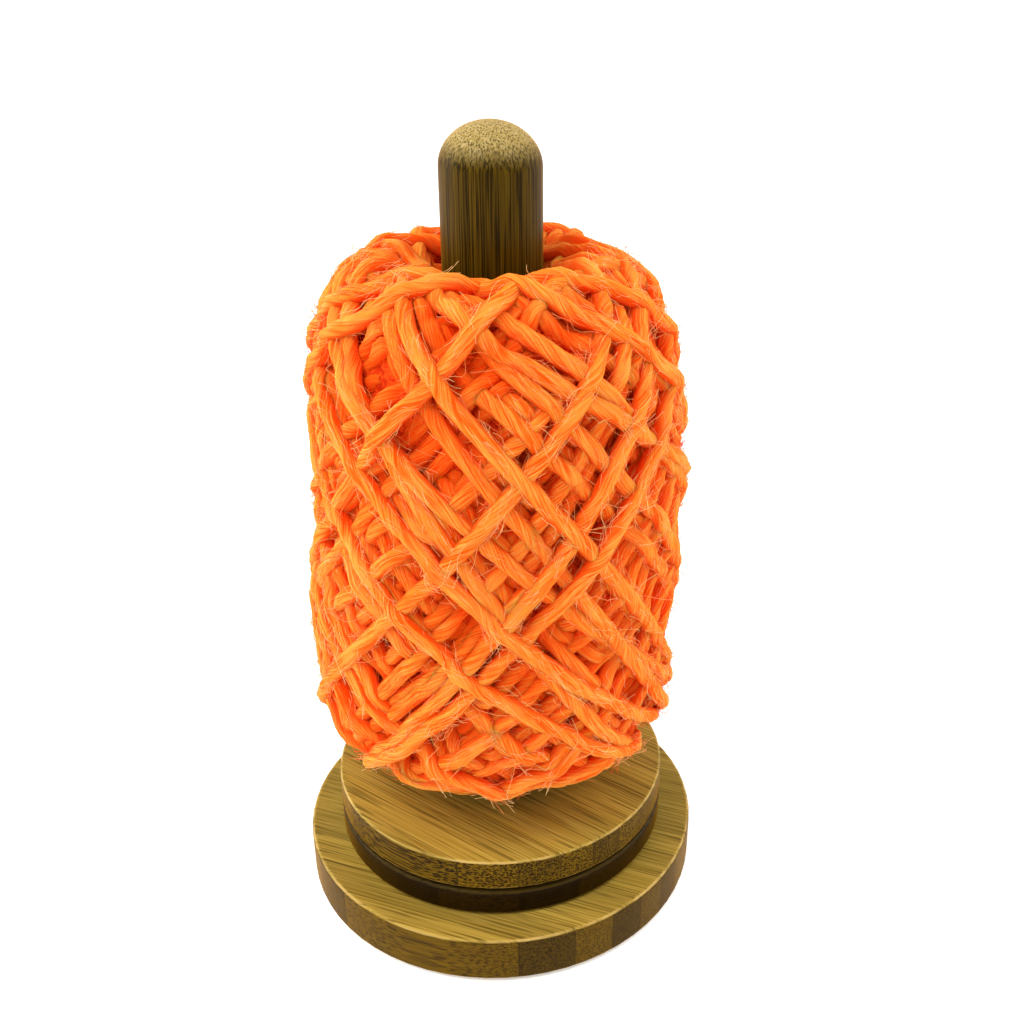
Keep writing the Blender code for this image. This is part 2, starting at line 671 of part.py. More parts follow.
def least_gap(points):
    """Measure the least gap between stretches of the yarn that aren't next to each other."""
    path = np.array(points)
    spaced = []
    for sample in range(GAP_SAMPLES):
        share = sample / GAP_SAMPLES
        spaced.append(path[:-1] * (1 - share) + path[1:] * share)
    samples = np.stack(spaced, axis=1).reshape(-1, 3)
    order = np.arange(len(samples))
    least = math.inf
    for index in range(len(samples)):
        apart = np.linalg.norm(samples - samples[index], axis=1)
        least = min(least, apart[np.abs(order - index) >= 3 * GAP_SAMPLES].min())
    return least - YARN_DIAMETER


def make_winding(group, axis):
    """Make the winding, one unbroken tube of yarn."""
    points = winding_points()
    curve = bpy.data.curves.new("yarn_winding", "CURVE")
    curve.dimensions = "3D"
    curve.bevel_depth = YARN_RADIUS
    curve.bevel_resolution = 1
    curve.use_fill_caps = True
    spline = curve.splines.new("POLY")
    spline.points.add(len(points) - 1)
    for target, point in zip(spline.points, points):
        target.co = (*point, 1.0)
    curve.materials.append(new_material("yarn_jute", YARN_ORANGE, 0.9))
    winding = bpy.data.objects.new("yarn_winding", curve)
    group.objects.link(winding)
    place(winding, axis, BALL_BOTTOM)
    print(f"Least gap between turns of the yarn: {least_gap(points) * 1000:.2f} mm")


def make_core(group, axis):
    """Make the packed inside of the ball, with the bore that slides over the spindle."""
    outline = ball_outline(CORE_DEPTH, CORE_SHOULDER_STEPS)
    body = [point for point in outline if point[0] > CORE_COLLAR_RADIUS]
    body.reverse()
    profile = [
        (BALL_BORE_RADIUS, BALL_HEIGHT - CORE_LIP),
        (CORE_COLLAR_RADIUS, BALL_HEIGHT - CORE_LIP),
        (CORE_COLLAR_RADIUS, body[0][1]),
    ]
    profile += body
    profile += [(CORE_COLLAR_RADIUS, body[-1][1]), (CORE_COLLAR_RADIUS, 0.0), (BALL_BORE_RADIUS, 0.0)]
    core = place(turned(group, "yarn_core", profile, CORE_STEPS, closed=True), axis, BALL_BOTTOM)
    finish(core, new_material("yarn_core_jute", YARN_SHADOW, 0.95))


def build():
    """Build the whole holder."""
    clear_scene()
    group = new_collection("yarn_ball_holder")
    cutters = new_collection("yarn_ball_holder_cutters")
    stand_axis = new_axis(group, "stand_frame", 0.0)
    turntable_axis = new_axis(group, "turntable_axis", PLATTER_BOTTOM)
    cage_axis = new_axis(group, "ball_cage_axis", BEARING_MIDDLE)
    yarn_axis = new_axis(group, "yarn_ball_axis", BALL_BOTTOM)
    pad_cutters = make_pad_cutters(cutters, stand_axis)
    screw_cutters = make_screw_cutters(cutters, stand_axis)
    make_base(group, stand_axis, pad_cutters, screw_cutters)
    make_riser(group, stand_axis, screw_cutters)
    make_screws(group, cutters, stand_axis)
    make_pads(group, stand_axis)
    make_bearing_rings(group, stand_axis, turntable_axis)
    make_bearing_shields(group, stand_axis)
    make_bearing_cage(group, cutters, cage_axis)
    make_bearing_balls(group, cage_axis)
    make_bolt(group, cutters, turntable_axis)
    make_washer_and_spacer(group, turntable_axis)
    make_insert(group, turntable_axis)
    make_platter(group, turntable_axis)
    make_spindle(group, turntable_axis)
    make_core(group, yarn_axis)
    make_winding(group, yarn_axis)
    bpy.context.view_layer.update()


build()
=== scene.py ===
# %% [markdown]
# # A bamboo yarn ball holder and its ball of jute yarn
#
# The holder is three bamboo discs and a bamboo dowel. The two lower discs stand still, and the upper
# one turns on a hidden ball bearing with the dowel and the ball of yarn. This lesson dresses the
# measured model of the holder: it adds the lacquered bamboo, the metal and rubber of the small
# parts, and the wound yarn with its loose fibres. Lengths are in metres and +Z is up.

# %% The measured model
import json
import math

import bmesh
import bpy
import numpy as np
from mathutils import Matrix, Vector

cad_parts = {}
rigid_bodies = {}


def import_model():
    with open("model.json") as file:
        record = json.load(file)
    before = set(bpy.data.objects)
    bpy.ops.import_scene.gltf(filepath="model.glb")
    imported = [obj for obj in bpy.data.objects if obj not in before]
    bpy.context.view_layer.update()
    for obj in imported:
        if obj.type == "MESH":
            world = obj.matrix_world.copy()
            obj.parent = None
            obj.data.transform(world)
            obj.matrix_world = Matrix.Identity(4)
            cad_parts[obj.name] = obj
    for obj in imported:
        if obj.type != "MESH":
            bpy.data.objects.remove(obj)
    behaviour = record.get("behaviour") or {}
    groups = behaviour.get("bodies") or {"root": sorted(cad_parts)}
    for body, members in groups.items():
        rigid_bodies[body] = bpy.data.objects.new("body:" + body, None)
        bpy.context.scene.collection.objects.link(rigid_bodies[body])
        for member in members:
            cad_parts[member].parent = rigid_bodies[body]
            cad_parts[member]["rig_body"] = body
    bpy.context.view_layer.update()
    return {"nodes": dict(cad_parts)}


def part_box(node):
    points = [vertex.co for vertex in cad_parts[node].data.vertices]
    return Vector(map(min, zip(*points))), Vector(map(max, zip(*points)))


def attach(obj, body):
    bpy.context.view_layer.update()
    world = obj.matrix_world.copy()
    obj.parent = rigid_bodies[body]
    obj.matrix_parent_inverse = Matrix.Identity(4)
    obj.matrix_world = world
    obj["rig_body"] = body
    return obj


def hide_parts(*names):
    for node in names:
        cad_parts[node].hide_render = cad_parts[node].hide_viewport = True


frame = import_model()
print("Pieces of the measured model:", len(frame["nodes"]))

# %% [markdown]
# ## Colours and shader nodes
#
# A colour picked on a screen is an sRGB value, and Blender's shaders work in linear light. One
# function turns the first into the second. Trees of nodes are easier to read when one small function
# adds a node, sets what it is told and joins its inputs, so every tree below is made with it. A node
# that is given as an input is joined by the first output that it shows.

# %% Colours and nodes
SMOOTH = {"interpolation_type": "SMOOTHSTEP"}
COLOURS = {"data_type": "RGBA"}


def colour(code):
    """Turn an sRGB code such as "A3B4C5" into a linear colour."""
    channels = [int(code[start:start + 2], 16) / 255 for start in (0, 2, 4)]
    linear = [c / 12.92 if c <= 0.04045 else ((c + 0.055) / 1.055) ** 2.4 for c in channels]
    return (*linear, 1.0)


def add(tree, kind, inputs=(), **settings):
    """Add a node of one kind. Its inputs, by name or in order, are values, or sockets or nodes to join."""
    node = tree.nodes.new(kind)
    for name, value in settings.items():
        setattr(node, name, value)
    for key, value in inputs.items() if isinstance(inputs, dict) else enumerate(inputs):
        if isinstance(value, bpy.types.Node):
            value = next(socket for socket in value.outputs if socket.enabled)
        if isinstance(value, bpy.types.NodeSocket):
            tree.links.new(value, node.inputs[key])
        else:
            node.inputs[key].default_value = value
    return node


def layered(tree, tint, *layers):
    """Lay colours over a tint, one after another. Each layer is a share and a colour."""
    for share, over in layers:
        tint = add(tree, "ShaderNodeMix", {0: share, 6: tint, 7: over}, **COLOURS)
    return tint


def new_material(name):
    """Make an empty material and give it with its tree."""
    material = bpy.data.materials.new(name)
    material.use_nodes = True
    material.node_tree.nodes.clear()
    return material, material.node_tree


def finished(material, inputs):
    """End a material with its shader, which has these inputs."""
    shader = add(material.node_tree, "ShaderNodeBsdfPrincipled", inputs)
    add(material.node_tree, "ShaderNodeOutputMaterial", {"Surface": shader})
    return material


print("Bamboo in linear light:", [round(part, 3) for part in colour("A38543")[:3]])

# %% [markdown]
# ## The camera
#
# The photograph looks down on the holder from a little above the yarn. The camera's place, its turn
# and its focal length were found from the round edges of the discs, which are ellipses in the
# picture. The holder stands left of the lens axis, and a small shift brings it to its place.

# %% Camera
IMAGE_SIZE = 1024
SENSOR_WIDTH = 36.0
FOCAL_PIXELS = 1245.92
AXIS_PIXEL = (612.0, 520.26)
CAMERA_PLACE = Vector((0.0, -0.31453, 0.28413))
CAMERA_PITCH = 0.4858
CAMERA_YAW = 0.1037
CAMERA_ROLL = 0.0291
NEAREST_SEEN = 0.01


def camera_axes():
    """Give the camera's right, up and forward directions."""
    forward = Vector((
        math.sin(CAMERA_YAW) * math.cos(CAMERA_PITCH),
        math.cos(CAMERA_YAW) * math.cos(CAMERA_PITCH),
        -math.sin(CAMERA_PITCH),
    ))
    level = forward.cross(Vector((0.0, 0.0, 1.0))).normalized()
    upright = level.cross(forward)
    right = level * math.cos(CAMERA_ROLL) + upright * math.sin(CAMERA_ROLL)
    return right, upright * math.cos(CAMERA_ROLL) - level * math.sin(CAMERA_ROLL), forward


camera = bpy.data.objects.new("camera", bpy.data.cameras.new("camera"))
bpy.context.scene.collection.objects.link(camera)
camera_right, camera_up, camera_forward = camera_axes()
turn = Matrix((camera_right, camera_up, -camera_forward)).transposed()
camera.matrix_world = Matrix.Translation(CAMERA_PLACE) @ turn.to_4x4()
camera.data.sensor_width = SENSOR_WIDTH
camera.data.lens = FOCAL_PIXELS / IMAGE_SIZE * SENSOR_WIDTH
camera.data.shift_x = (IMAGE_SIZE / 2 - AXIS_PIXEL[0]) / IMAGE_SIZE
camera.data.shift_y = (AXIS_PIXEL[1] - IMAGE_SIZE / 2) / IMAGE_SIZE
camera.data.clip_start = NEAREST_SEEN
bpy.context.scene.camera = camera
print("Focal length in mm:", round(camera.data.lens, 2))

# %% [markdown]
# ## The stage
#
# The holder stands on a white sweep: a floor that curves up into a back wall, so no horizon shows.
# The light is soft and even. The world gives the ambient part, and two large lamps above and two
# beside give the discs their bright tops and the yarn its rounded shading. Seen directly or in the
# lacquer, the world is plain white, as the photograph's background is.

# %% Floor and backdrop
SWEEP_WIDTH = 8.0
SWEEP_FRONT = -3.0
SWEEP_BACK = 2.2
SWEEP_HEIGHT = 3.5
SWEEP_RADIUS = 0.9
SWEEP_STEPS = 24
FLOOR_DROP = 0.0001
PAPER_LIFT = 0.32


def sweep_outline():
    """Give the side view of the sweep, from the front of the floor to the top of the wall."""
    points = [(SWEEP_FRONT, -FLOOR_DROP)]
    for step in range(SWEEP_STEPS + 1):
        angle = math.pi / 2 * step / SWEEP_STEPS
        along = SWEEP_BACK - SWEEP_RADIUS + SWEEP_RADIUS * math.sin(angle)
        points.append((along, SWEEP_RADIUS * (1 - math.cos(angle)) - FLOOR_DROP))
    points.append((SWEEP_BACK, SWEEP_HEIGHT))
    return points


def make_sweep():
    """Make the floor and the back wall as one sheet."""
    shape = bmesh.new()
    rows = []
    for along, height in sweep_outline():
        rows.append([shape.verts.new((side * SWEEP_WIDTH / 2, along, height)) for side in (-1, 1)])
    for low, high in zip(rows, rows[1:]):
        shape.faces.new((low[0], low[1], high[1], high[0]))
    mesh = bpy.data.meshes.new("sweep")
    shape.to_mesh(mesh)
    shape.free()
    mesh.shade_smooth()
    return bpy.data.objects.new("sweep", mesh)


def seen_rays(tree):
    """Tell the rays that come from the camera or a gloss from those that only carry light."""
    rays = add(tree, "ShaderNodeLightPath")
    return add(tree, "ShaderNodeMath", (rays.outputs["Is Camera Ray"], rays.outputs["Is Glossy Ray"]))


def paper_material():
    """Make white paper that shows a little brighter than it is lit to the camera and in gloss."""
    material, tree = new_material("white_paper_sweep")
    lift = add(tree, "ShaderNodeMath", (seen_rays(tree), PAPER_LIFT), operation="MULTIPLY")
    return finished(material, {
        "Base Color": colour("FFFFFF"), "Roughness": 0.9, "Specular IOR Level": 0.0,
        "Emission Color": colour("FFFFFF"), "Emission Strength": lift,
    })


sweep = make_sweep()
sweep.data.materials.append(paper_material())
bpy.context.scene.collection.objects.link(sweep)
print("Sweep faces:", len(sweep.data.polygons))

# %% World and lamps
AMBIENT_STRENGTH = 0.82
SEEN_STRENGTH = 1.0
LAMP_TARGET = Vector((0.0, 0.0, 0.115))
LAMPS = (
    ("lamp_over_left", (-0.55, -0.45, 1.15), 0.6, 9.0),
    ("lamp_over_right", (0.75, -0.10, 1.05), 0.6, 3.0),
    ("lamp_beside_left", (-1.10, 0.25, 0.35), 0.8, 8.0),
    ("lamp_beside_right", (1.10, 0.30, 0.35), 0.8, 4.5),
)


def make_world():
    """Light the scene softly from all round, and show plain white to the camera and in the gloss."""
    world = bpy.data.worlds.new("soft_white_room")
    world.use_nodes = True
    tree = world.node_tree
    tree.nodes.clear()
    strength = add(tree, "ShaderNodeMapRange", {
        "Value": seen_rays(tree), "To Min": AMBIENT_STRENGTH, "To Max": SEEN_STRENGTH,
    })
    light = add(tree, "ShaderNodeBackground", {"Color": colour("FFFFFF"), "Strength": strength})
    add(tree, "ShaderNodeOutputWorld", {"Surface": light})
    bpy.context.scene.world = world


def make_lamp(name, place, size, power):
    """Add a square area lamp that points at the yarn."""
    data = bpy.data.lights.new(name, "AREA")
    data.shape = "SQUARE"
    data.size = size
    data.energy = power
    lamp = bpy.data.objects.new(name, data)
    bpy.context.scene.collection.objects.link(lamp)
    lamp.location = place
    lamp.rotation_euler = (LAMP_TARGET - Vector(place)).to_track_quat("-Z", "Y").to_euler()


make_world()
for lamp_values in LAMPS:
    make_lamp(*lamp_values)
bpy.context.scene.view_settings.view_transform = "Standard"
print("Lamps:", [item.name for item in bpy.data.lights])

# %% [markdown]
# ## Bamboo
#
# The discs are cut from laminated bamboo board: strips of the cane's wall, each some 10 mm wide,
# planed, glued side by side and lacquered. Bamboo has no rings. Its pale tissue is crossed by
# bundles of dark fibre that all run along the cane, so a face along the grain shows fine streaks,
# and a cut across it shows dots. One solid pattern gives both: it is drawn in the space of the
# object in millimetres and stretched along the grain. Each strip gets a tone and a shift of the
# pattern, which makes the joints between the strips show. The rims, the dowel's sides and the lower
# half of its dome are painted darker than the tops: that is painted shade, for faces that are lit
# less. A pale line on the rounded arrises is a painted highlight. The lacquer itself is a smooth
# clear coat, and it glows golden where the eye grazes the rounded sides.

# %% Strips and grain
MILLIMETRES = 1000.0
STRIP_SHIFT = 17.3
CHANCE_SHARE = 0.4


def strips_across(tree, parts, width, start):
    """Cut a board into strips, and give the place across them, a chance value and a tone for each."""
    across = add(tree, "ShaderNodeMath", (parts.outputs["Y"], start), operation="SUBTRACT")
    across = add(tree, "ShaderNodeMath", (across, width), operation="DIVIDE")
    strip = add(tree, "ShaderNodeMath", (across,), operation="FLOOR")
    chance = add(tree, "ShaderNodeTexWhiteNoise", {"W": strip}, noise_dimensions="1D")
    every_second = add(tree, "ShaderNodeMath", (strip, 1.0), operation="PINGPONG")
    by_chance = add(tree, "ShaderNodeMath", (chance, CHANCE_SHARE), operation="MULTIPLY")
    regular = 1.0 - CHANCE_SHARE
    tone = add(tree, "ShaderNodeMath", (every_second, regular, by_chance), operation="MULTIPLY_ADD")
    return across, chance, tone


def grain_vector(tree, parts, shift, stretch):
    """Give coordinates that are stretched along the grain and moved on from strip to strip."""
    along = add(tree, "ShaderNodeMath", (parts.outputs["X"], stretch), operation="MULTIPLY")
    return add(tree, "ShaderNodeCombineXYZ", (
        add(tree, "ShaderNodeMath", (along, shift)),
        add(tree, "ShaderNodeMath", (parts.outputs["Y"], shift)),
        parts.outputs["Z"],
    ))


# %% The bamboo material
FIBRES_EACH_MM = 1.9
BANDS_EACH_MM = 0.22
BUNDLES_EACH_MM = 1.75
FIBRE_STRETCH = 0.010
BUNDLE_STRETCH = 0.015
GLUE_WIDTH = 0.28
LIGHTEST_STRIP = 1.08
LEVEL_DOT_REACH = 0.42
DOT_CORE_SHARE = 0.58
DOT_RELIEF_SHARE = 0.6
COAT_SHARE = 0.03


def bamboo_patterns(tree, parts, shift, streaks):
    """Give the four patterns of bamboo: its fine fibres, wide bands, dark streaks and fibre bundles."""
    along_fibres = grain_vector(tree, parts, shift, FIBRE_STRETCH)
    along_streaks = grain_vector(tree, parts, shift, streaks["stretch"])
    along_bundles = grain_vector(tree, parts, shift, BUNDLE_STRETCH)
    return (
        add(tree, "ShaderNodeTexNoise", {
            "Vector": along_fibres, "Scale": FIBRES_EACH_MM, "Detail": 3.0, "Roughness": 0.6,
        }),
        add(tree, "ShaderNodeTexNoise", {"Vector": along_fibres, "Scale": BANDS_EACH_MM, "Detail": 1.0}),
        add(tree, "ShaderNodeTexNoise", {
            "Vector": along_streaks, "Scale": streaks["each_mm"], "Detail": 2.0, "Roughness": 0.55,
        }),
        add(tree, "ShaderNodeTexVoronoi", {
            "Vector": along_bundles, "Scale": BUNDLES_EACH_MM, "Randomness": 0.9,
        }),
    )


def fibre_ends(tree, bundles, rim, dots):
    """Give the dots of the fibre ends, whose strength and reach change from level to upright faces."""
    reach = add(tree, "ShaderNodeMapRange", (rim, 0.0, 1.0, LEVEL_DOT_REACH, dots["upright_reach"]), **SMOOTH)
    core = add(tree, "ShaderNodeMath", (reach, DOT_CORE_SHARE), operation="MULTIPLY")
    spots = add(tree, "ShaderNodeMapRange", (bundles, core, reach, 1.0, 0.0), **SMOOTH)
    strength = add(tree, "ShaderNodeMapRange", (rim, 0.0, 1.0, *dots["strength"]), **SMOOTH)
    return add(tree, "ShaderNodeMath", (spots, strength), operation="MULTIPLY")


def painted_arris_highlight(tree, level, bands, highlight_share):
    """Give the share of a painted highlight on a rounded arris, which turns between upright and level."""
    rise = add(tree, "ShaderNodeMapRange", (level, 0.25, 0.55), **SMOOTH)
    fall = add(tree, "ShaderNodeMapRange", (level, 0.80, 0.97, 1.0, 0.0), **SMOOTH)
    edge = add(tree, "ShaderNodeMath", (rise, fall), operation="MULTIPLY")
    uneven = add(tree, "ShaderNodeMapRange", (bands, 0.35, 0.65, *highlight_share), **SMOOTH)
    return add(tree, "ShaderNodeMath", (edge, uneven), operation="MULTIPLY")


def bamboo(name, turn, strips, tones, side_shade, dots, streaks, darkest_strip, slopes, highlight_share):
    """Make lacquered bamboo.

    turn brings the grain to X, and strips are a strip's width and the place of one joint across the
    grain, in mm. tones are the pale, middle and dark colours, then the colour of a painted highlight
    on the rounded arris. The colour after the tones is painted shade, which darkens the upright
    faces. A pair of strengths, as in dots, streaks and darkest_strip, is for level and for upright
    faces. slopes say where a face turns from upright to level, and the last argument is the least
    and the most share of that painted highlight on a rounded arris.
    """
    material, tree = new_material(name)
    place = add(tree, "ShaderNodeTexCoord")
    turned = add(tree, "ShaderNodeMapping", {
        "Vector": place.outputs["Object"], "Rotation": turn, "Scale": (MILLIMETRES,) * 3,
    })
    parts = add(tree, "ShaderNodeSeparateXYZ", (turned,))
    across, chance, strip_tone = strips_across(tree, parts, *strips)
    shift = add(tree, "ShaderNodeMath", (chance, STRIP_SHIFT), operation="MULTIPLY")
    fibres, bands, streaky, bundles = bamboo_patterns(tree, parts, shift, streaks)
    slope = add(tree, "ShaderNodeSeparateXYZ", (place.outputs["Normal"],)).outputs["Z"]
    level = add(tree, "ShaderNodeMath", (slope,), operation="ABSOLUTE")
    rim = add(tree, "ShaderNodeMapRange", (level, *slopes, 1.0, 0.0), **SMOOTH)
    spots = fibre_ends(tree, bundles, rim, dots)

    pale, middle, dark, highlight_tone = (colour(code) for code in tones)
    darkest_streak = add(tree, "ShaderNodeMapRange", (rim, 0.0, 1.0, *streaks["strength"]), **SMOOTH)
    tint = layered(
        tree, middle,
        (add(tree, "ShaderNodeMapRange", (fibres, 0.35, 0.65), **SMOOTH), pale),
        (add(tree, "ShaderNodeMapRange", (bands, 0.42, 0.68, 0.0, 0.45), **SMOOTH), middle),
        (add(tree, "ShaderNodeMapRange", (streaky, *streaks["range"], 0.0, darkest_streak), **SMOOTH), dark),
        (spots, dark),
    )
    darkest = add(tree, "ShaderNodeMapRange", (rim, 0.0, 1.0, *darkest_strip), **SMOOTH)
    tone = add(tree, "ShaderNodeMapRange", (strip_tone, 0.0, 1.0, darkest, LIGHTEST_STRIP), **SMOOTH)
    grey = add(tree, "ShaderNodeCombineColor", (tone, tone, tone))
    tint = add(tree, "ShaderNodeMix", {0: 1.0, 6: tint, 7: grey}, blend_type="MULTIPLY", **COLOURS)
    from_joint = add(tree, "ShaderNodeMath", (across, 0.5), operation="PINGPONG")
    glue = add(tree, "ShaderNodeMapRange", (from_joint, 0.0, GLUE_WIDTH / strips[0], 0.55, 0.0), **SMOOTH)
    tint = layered(tree, tint, (glue, dark))
    # Painted shade: the upright faces are darkened by the side colour. Then a painted highlight goes on the
    # rounded arris.
    shaded_sides = {0: 1.0, 6: tint, 7: colour(side_shade)}
    shaded_sides = add(tree, "ShaderNodeMix", shaded_sides, blend_type="MULTIPLY", **COLOURS)
    tint = layered(tree, tint, (rim, shaded_sides), (painted_arris_highlight(tree, level, bands, highlight_share), highlight_tone))

    pits = add(tree, "ShaderNodeMath", (spots, -DOT_RELIEF_SHARE), operation="MULTIPLY")
    relief = add(tree, "ShaderNodeMath", (fibres, pits))
    return finished(material, {
        "Base Color": tint,
        "Roughness": add(tree, "ShaderNodeMapRange", (fibres, 0.3, 0.7, 0.42, 0.55), **SMOOTH),
        "Normal": add(tree, "ShaderNodeBump", {"Height": relief, "Strength": 0.25, "Distance": 0.00015}),
        "Specular IOR Level": 0.03, "Coat Weight": COAT_SHARE, "Coat Roughness": 0.25, "Coat IOR": 1.5,
        "Sheen Weight": 0.8, "Sheen Roughness": 0.3, "Sheen Tint": colour("C08820"),
    })


# %% Four kinds of bamboo
STRIP_WIDTH = 9.55
DOWEL_STRIP_WIDTH = 40.0
SOFT_STREAKS = {"each_mm": 1.50, "stretch": 0.025, "range": (0.52, 0.66), "strength": (0.60, 0.45)}
BOLD_STREAKS = {"each_mm": 2.00, "stretch": 0.015, "range": (0.44, 0.62), "strength": (0.20, 0.75)}
# Where the painted side shade begins. On the dowel the wide slopes let it fall off gradually down the dome.
DISC_SLOPES = (0.25, 0.80)
DOWEL_SLOPES = (0.15, 0.85)
# Least and most share of the painted highlight on a rounded arris. The dowel has none.
ARRIS_HIGHLIGHT_SHARES = (0.1, 0.7)
NO_ARRIS_HIGHLIGHT = (0.0, 0.0)

# In each bamboo below, the side colour is painted shade for the upright faces, and the fourth tone is a
# painted highlight on the arris.
base_bamboo = bamboo(
    "lacquered_bamboo_base", turn=(0.0, 0.0, math.radians(24.0)), strips=(STRIP_WIDTH, 4.15),
    tones=("B09240", "90742A", "3A2A06", "CCAA62"), side_shade="9A8C40",
    dots={"strength": (0.18, 0.75), "upright_reach": 0.44}, streaks=SOFT_STREAKS,
    darkest_strip=(0.86, 0.50), slopes=DISC_SLOPES, highlight_share=ARRIS_HIGHLIGHT_SHARES)
# The riser is painted in dark tones all over: painted shade, for the riser in the shadow under the platter.
# Its arris gets no painted highlight.
shaded_riser_bamboo = bamboo(
    "lacquered_bamboo_riser_painted_shade", turn=(0.0, 0.0, math.radians(-15.0)), strips=(STRIP_WIDTH, -1.5),
    tones=("42320E", "322608", "160D02", "42320E"), side_shade="A48E38",
    dots={"strength": (0.30, 0.85), "upright_reach": 0.42}, streaks=SOFT_STREAKS,
    darkest_strip=(0.86, 0.60), slopes=DISC_SLOPES, highlight_share=ARRIS_HIGHLIGHT_SHARES)
platter_bamboo = bamboo(
    "lacquered_bamboo_platter", turn=(0.0, 0.0, math.radians(39.0)), strips=(STRIP_WIDTH, 2.0),
    tones=("B49C46", "967C2C", "3C2E0A", "D0AE66"), side_shade="A8943A",
    dots={"strength": (0.18, 1.0), "upright_reach": 0.58}, streaks=SOFT_STREAKS,
    darkest_strip=(0.88, 0.74), slopes=DISC_SLOPES, highlight_share=ARRIS_HIGHLIGHT_SHARES)
dowel_bamboo = bamboo(
    "lacquered_bamboo_dowel", turn=(0.0, math.radians(90.0), 0.0),
    strips=(DOWEL_STRIP_WIDTH, -DOWEL_STRIP_WIDTH / 2),
    tones=("C8AE72", "A08644", "241804", "C8AE72"), side_shade="7A6E22",
    dots={"strength": (0.80, 0.30), "upright_reach": 0.46}, streaks=BOLD_STREAKS,
    darkest_strip=(0.9, 0.8), slopes=DOWEL_SLOPES, highlight_share=NO_ARRIS_HIGHLIGHT)
print("Bamboo materials:", [item.name for item in bpy.data.materials if "bamboo" in item.name])

# %% [markdown]
# ## The wooden pieces
#
# The measured discs have the right shape, with their pockets and screw holes, but their faces are
# loose triangles. A copy whose points are merged can be shaded smooth. Weighted normals let the
# large flat faces keep their flat shading while the small rounded arris turns the light. The
# dowel's dome is turned again with more steps, because it stands in front of the white background.

# %% Discs
SHARP_ANGLE = math.radians(35.0)
FLAT_ANGLE = math.radians(0.5)
MERGE_DISTANCE = 0.00001


def shade(piece):
    """Shade a piece smooth but for its sharp edges, and let its flat faces stay flat."""
    piece.data.shade_smooth()
    piece.data.set_sharp_from_angle(angle=SHARP_ANGLE)
    weighted = piece.modifiers.new("flat_faces", "WEIGHTED_NORMAL")
    weighted.keep_sharp = True
    weighted.weight = 100
    return piece


def new_piece(shape, name, material):
    """Make a piece in one material from a finished shape."""
    mesh = bpy.data.meshes.new(name)
    shape.to_mesh(mesh)
    shape.free()
    piece = bpy.data.objects.new(name, mesh)
    bpy.context.scene.collection.objects.link(piece)
    mesh.materials.append(material)
    return shade(piece)


def merged_copy(node, name, material):
    """Copy a node of the measured model, and merge its loose triangles into one skin."""
    shape = bmesh.new()
    shape.from_mesh(frame["nodes"][node].data)
    bmesh.ops.remove_doubles(shape, verts=shape.verts, dist=MERGE_DISTANCE)
    bmesh.ops.dissolve_limit(shape, angle_limit=FLAT_ANGLE, verts=shape.verts, edges=shape.edges)
    return new_piece(shape, name, material)


def dress(piece, node):
    """Let a piece stand for a node: it moves with the node's body and shows in its place."""
    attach(piece, frame["nodes"][node]["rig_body"])
    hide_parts(node)


for node, material, slot_name in (
    ("base_disc", base_bamboo, "bamboo_disc"),
    ("riser_disc", shaded_riser_bamboo, "bamboo_riser"),
    ("platter", platter_bamboo, "bamboo_disc"),
):
    disc = merged_copy(node, node + "_turned", material)
    dress(disc, node)
    print(disc.name, "faces:", len(disc.data.polygons))

# %% Dowel
DOWEL_STEPS = 128
DOME_HEIGHT = 0.0112
DOME_STEPS = 20
FOOT_CHAMFER = 0.0006
FOOT_BORE_RADIUS = 0.0063
FOOT_BORE_DEPTH = 0.0153


def lathe(name, profile, steps, material):
    """Turn a profile of (radius, height) points round the Z axis. Off the axis, it closes on itself."""
    shape = bmesh.new()
    ways = [(math.cos(math.tau * step / steps), math.sin(math.tau * step / steps)) for step in range(steps)]
    rings = []
    for radius, height in profile:
        if radius == 0.0:
            rings.append([shape.verts.new((0.0, 0.0, height))] * steps)
        else:
            rings.append([shape.verts.new((radius * x, radius * y, height)) for x, y in ways])
    closing = [] if profile[0][0] == 0.0 else rings[:1]
    for upper, lower in zip(rings, rings[1:] + closing):
        for step in range(steps):
            after = (step + 1) % steps
            corners = [upper[step], lower[step], lower[after], upper[after]]
            shape.faces.new(list(dict.fromkeys(corners)))
    return new_piece(shape, name, material)


def dowel_profile():
    """Give the dowel from its dome down to the bore in its foot."""
    low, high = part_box("spindle")
    radius = (high.x - low.x) / 2
    shoulder = high.z - DOME_HEIGHT
    points = [(0.0, high.z)]
    for step in range(1, DOME_STEPS + 1):
        angle = math.pi / 2 * step / DOME_STEPS
        points.append((radius * math.sin(angle), shoulder + DOME_HEIGHT * math.cos(angle)))
    return points + [
        (radius, low.z + FOOT_CHAMFER),
        (radius - FOOT_CHAMFER, low.z),
        (FOOT_BORE_RADIUS, low.z),
        (FOOT_BORE_RADIUS, low.z + FOOT_BORE_DEPTH),
        (0.0, low.z + FOOT_BORE_DEPTH),
    ]


dowel = lathe("spindle_turned", dowel_profile(), DOWEL_STEPS, dowel_bamboo)
dress(dowel, "spindle")
print("Dowel faces:", len(dowel.data.polygons))

# %% [markdown]
# ## The ball of yarn: how it is wound
#
# A winder lays one long strand up and down the ball while the ball turns, so the passes cross each
# other, and each pass lies on those before it. The pattern could be drawn layer by layer, but then
# every strand would float at its own fixed depth. Here the passes are laid one after another on a
# map of the ball's height, as the winder does it: each new pass looks for the lowest lane, rests on
# whatever it crosses, and is pulled taut between its highest supports. The last passes in front take
# the diagonals that the photograph shows. They are given by named places in its picture, and the
# camera's rays carry them to the ball.

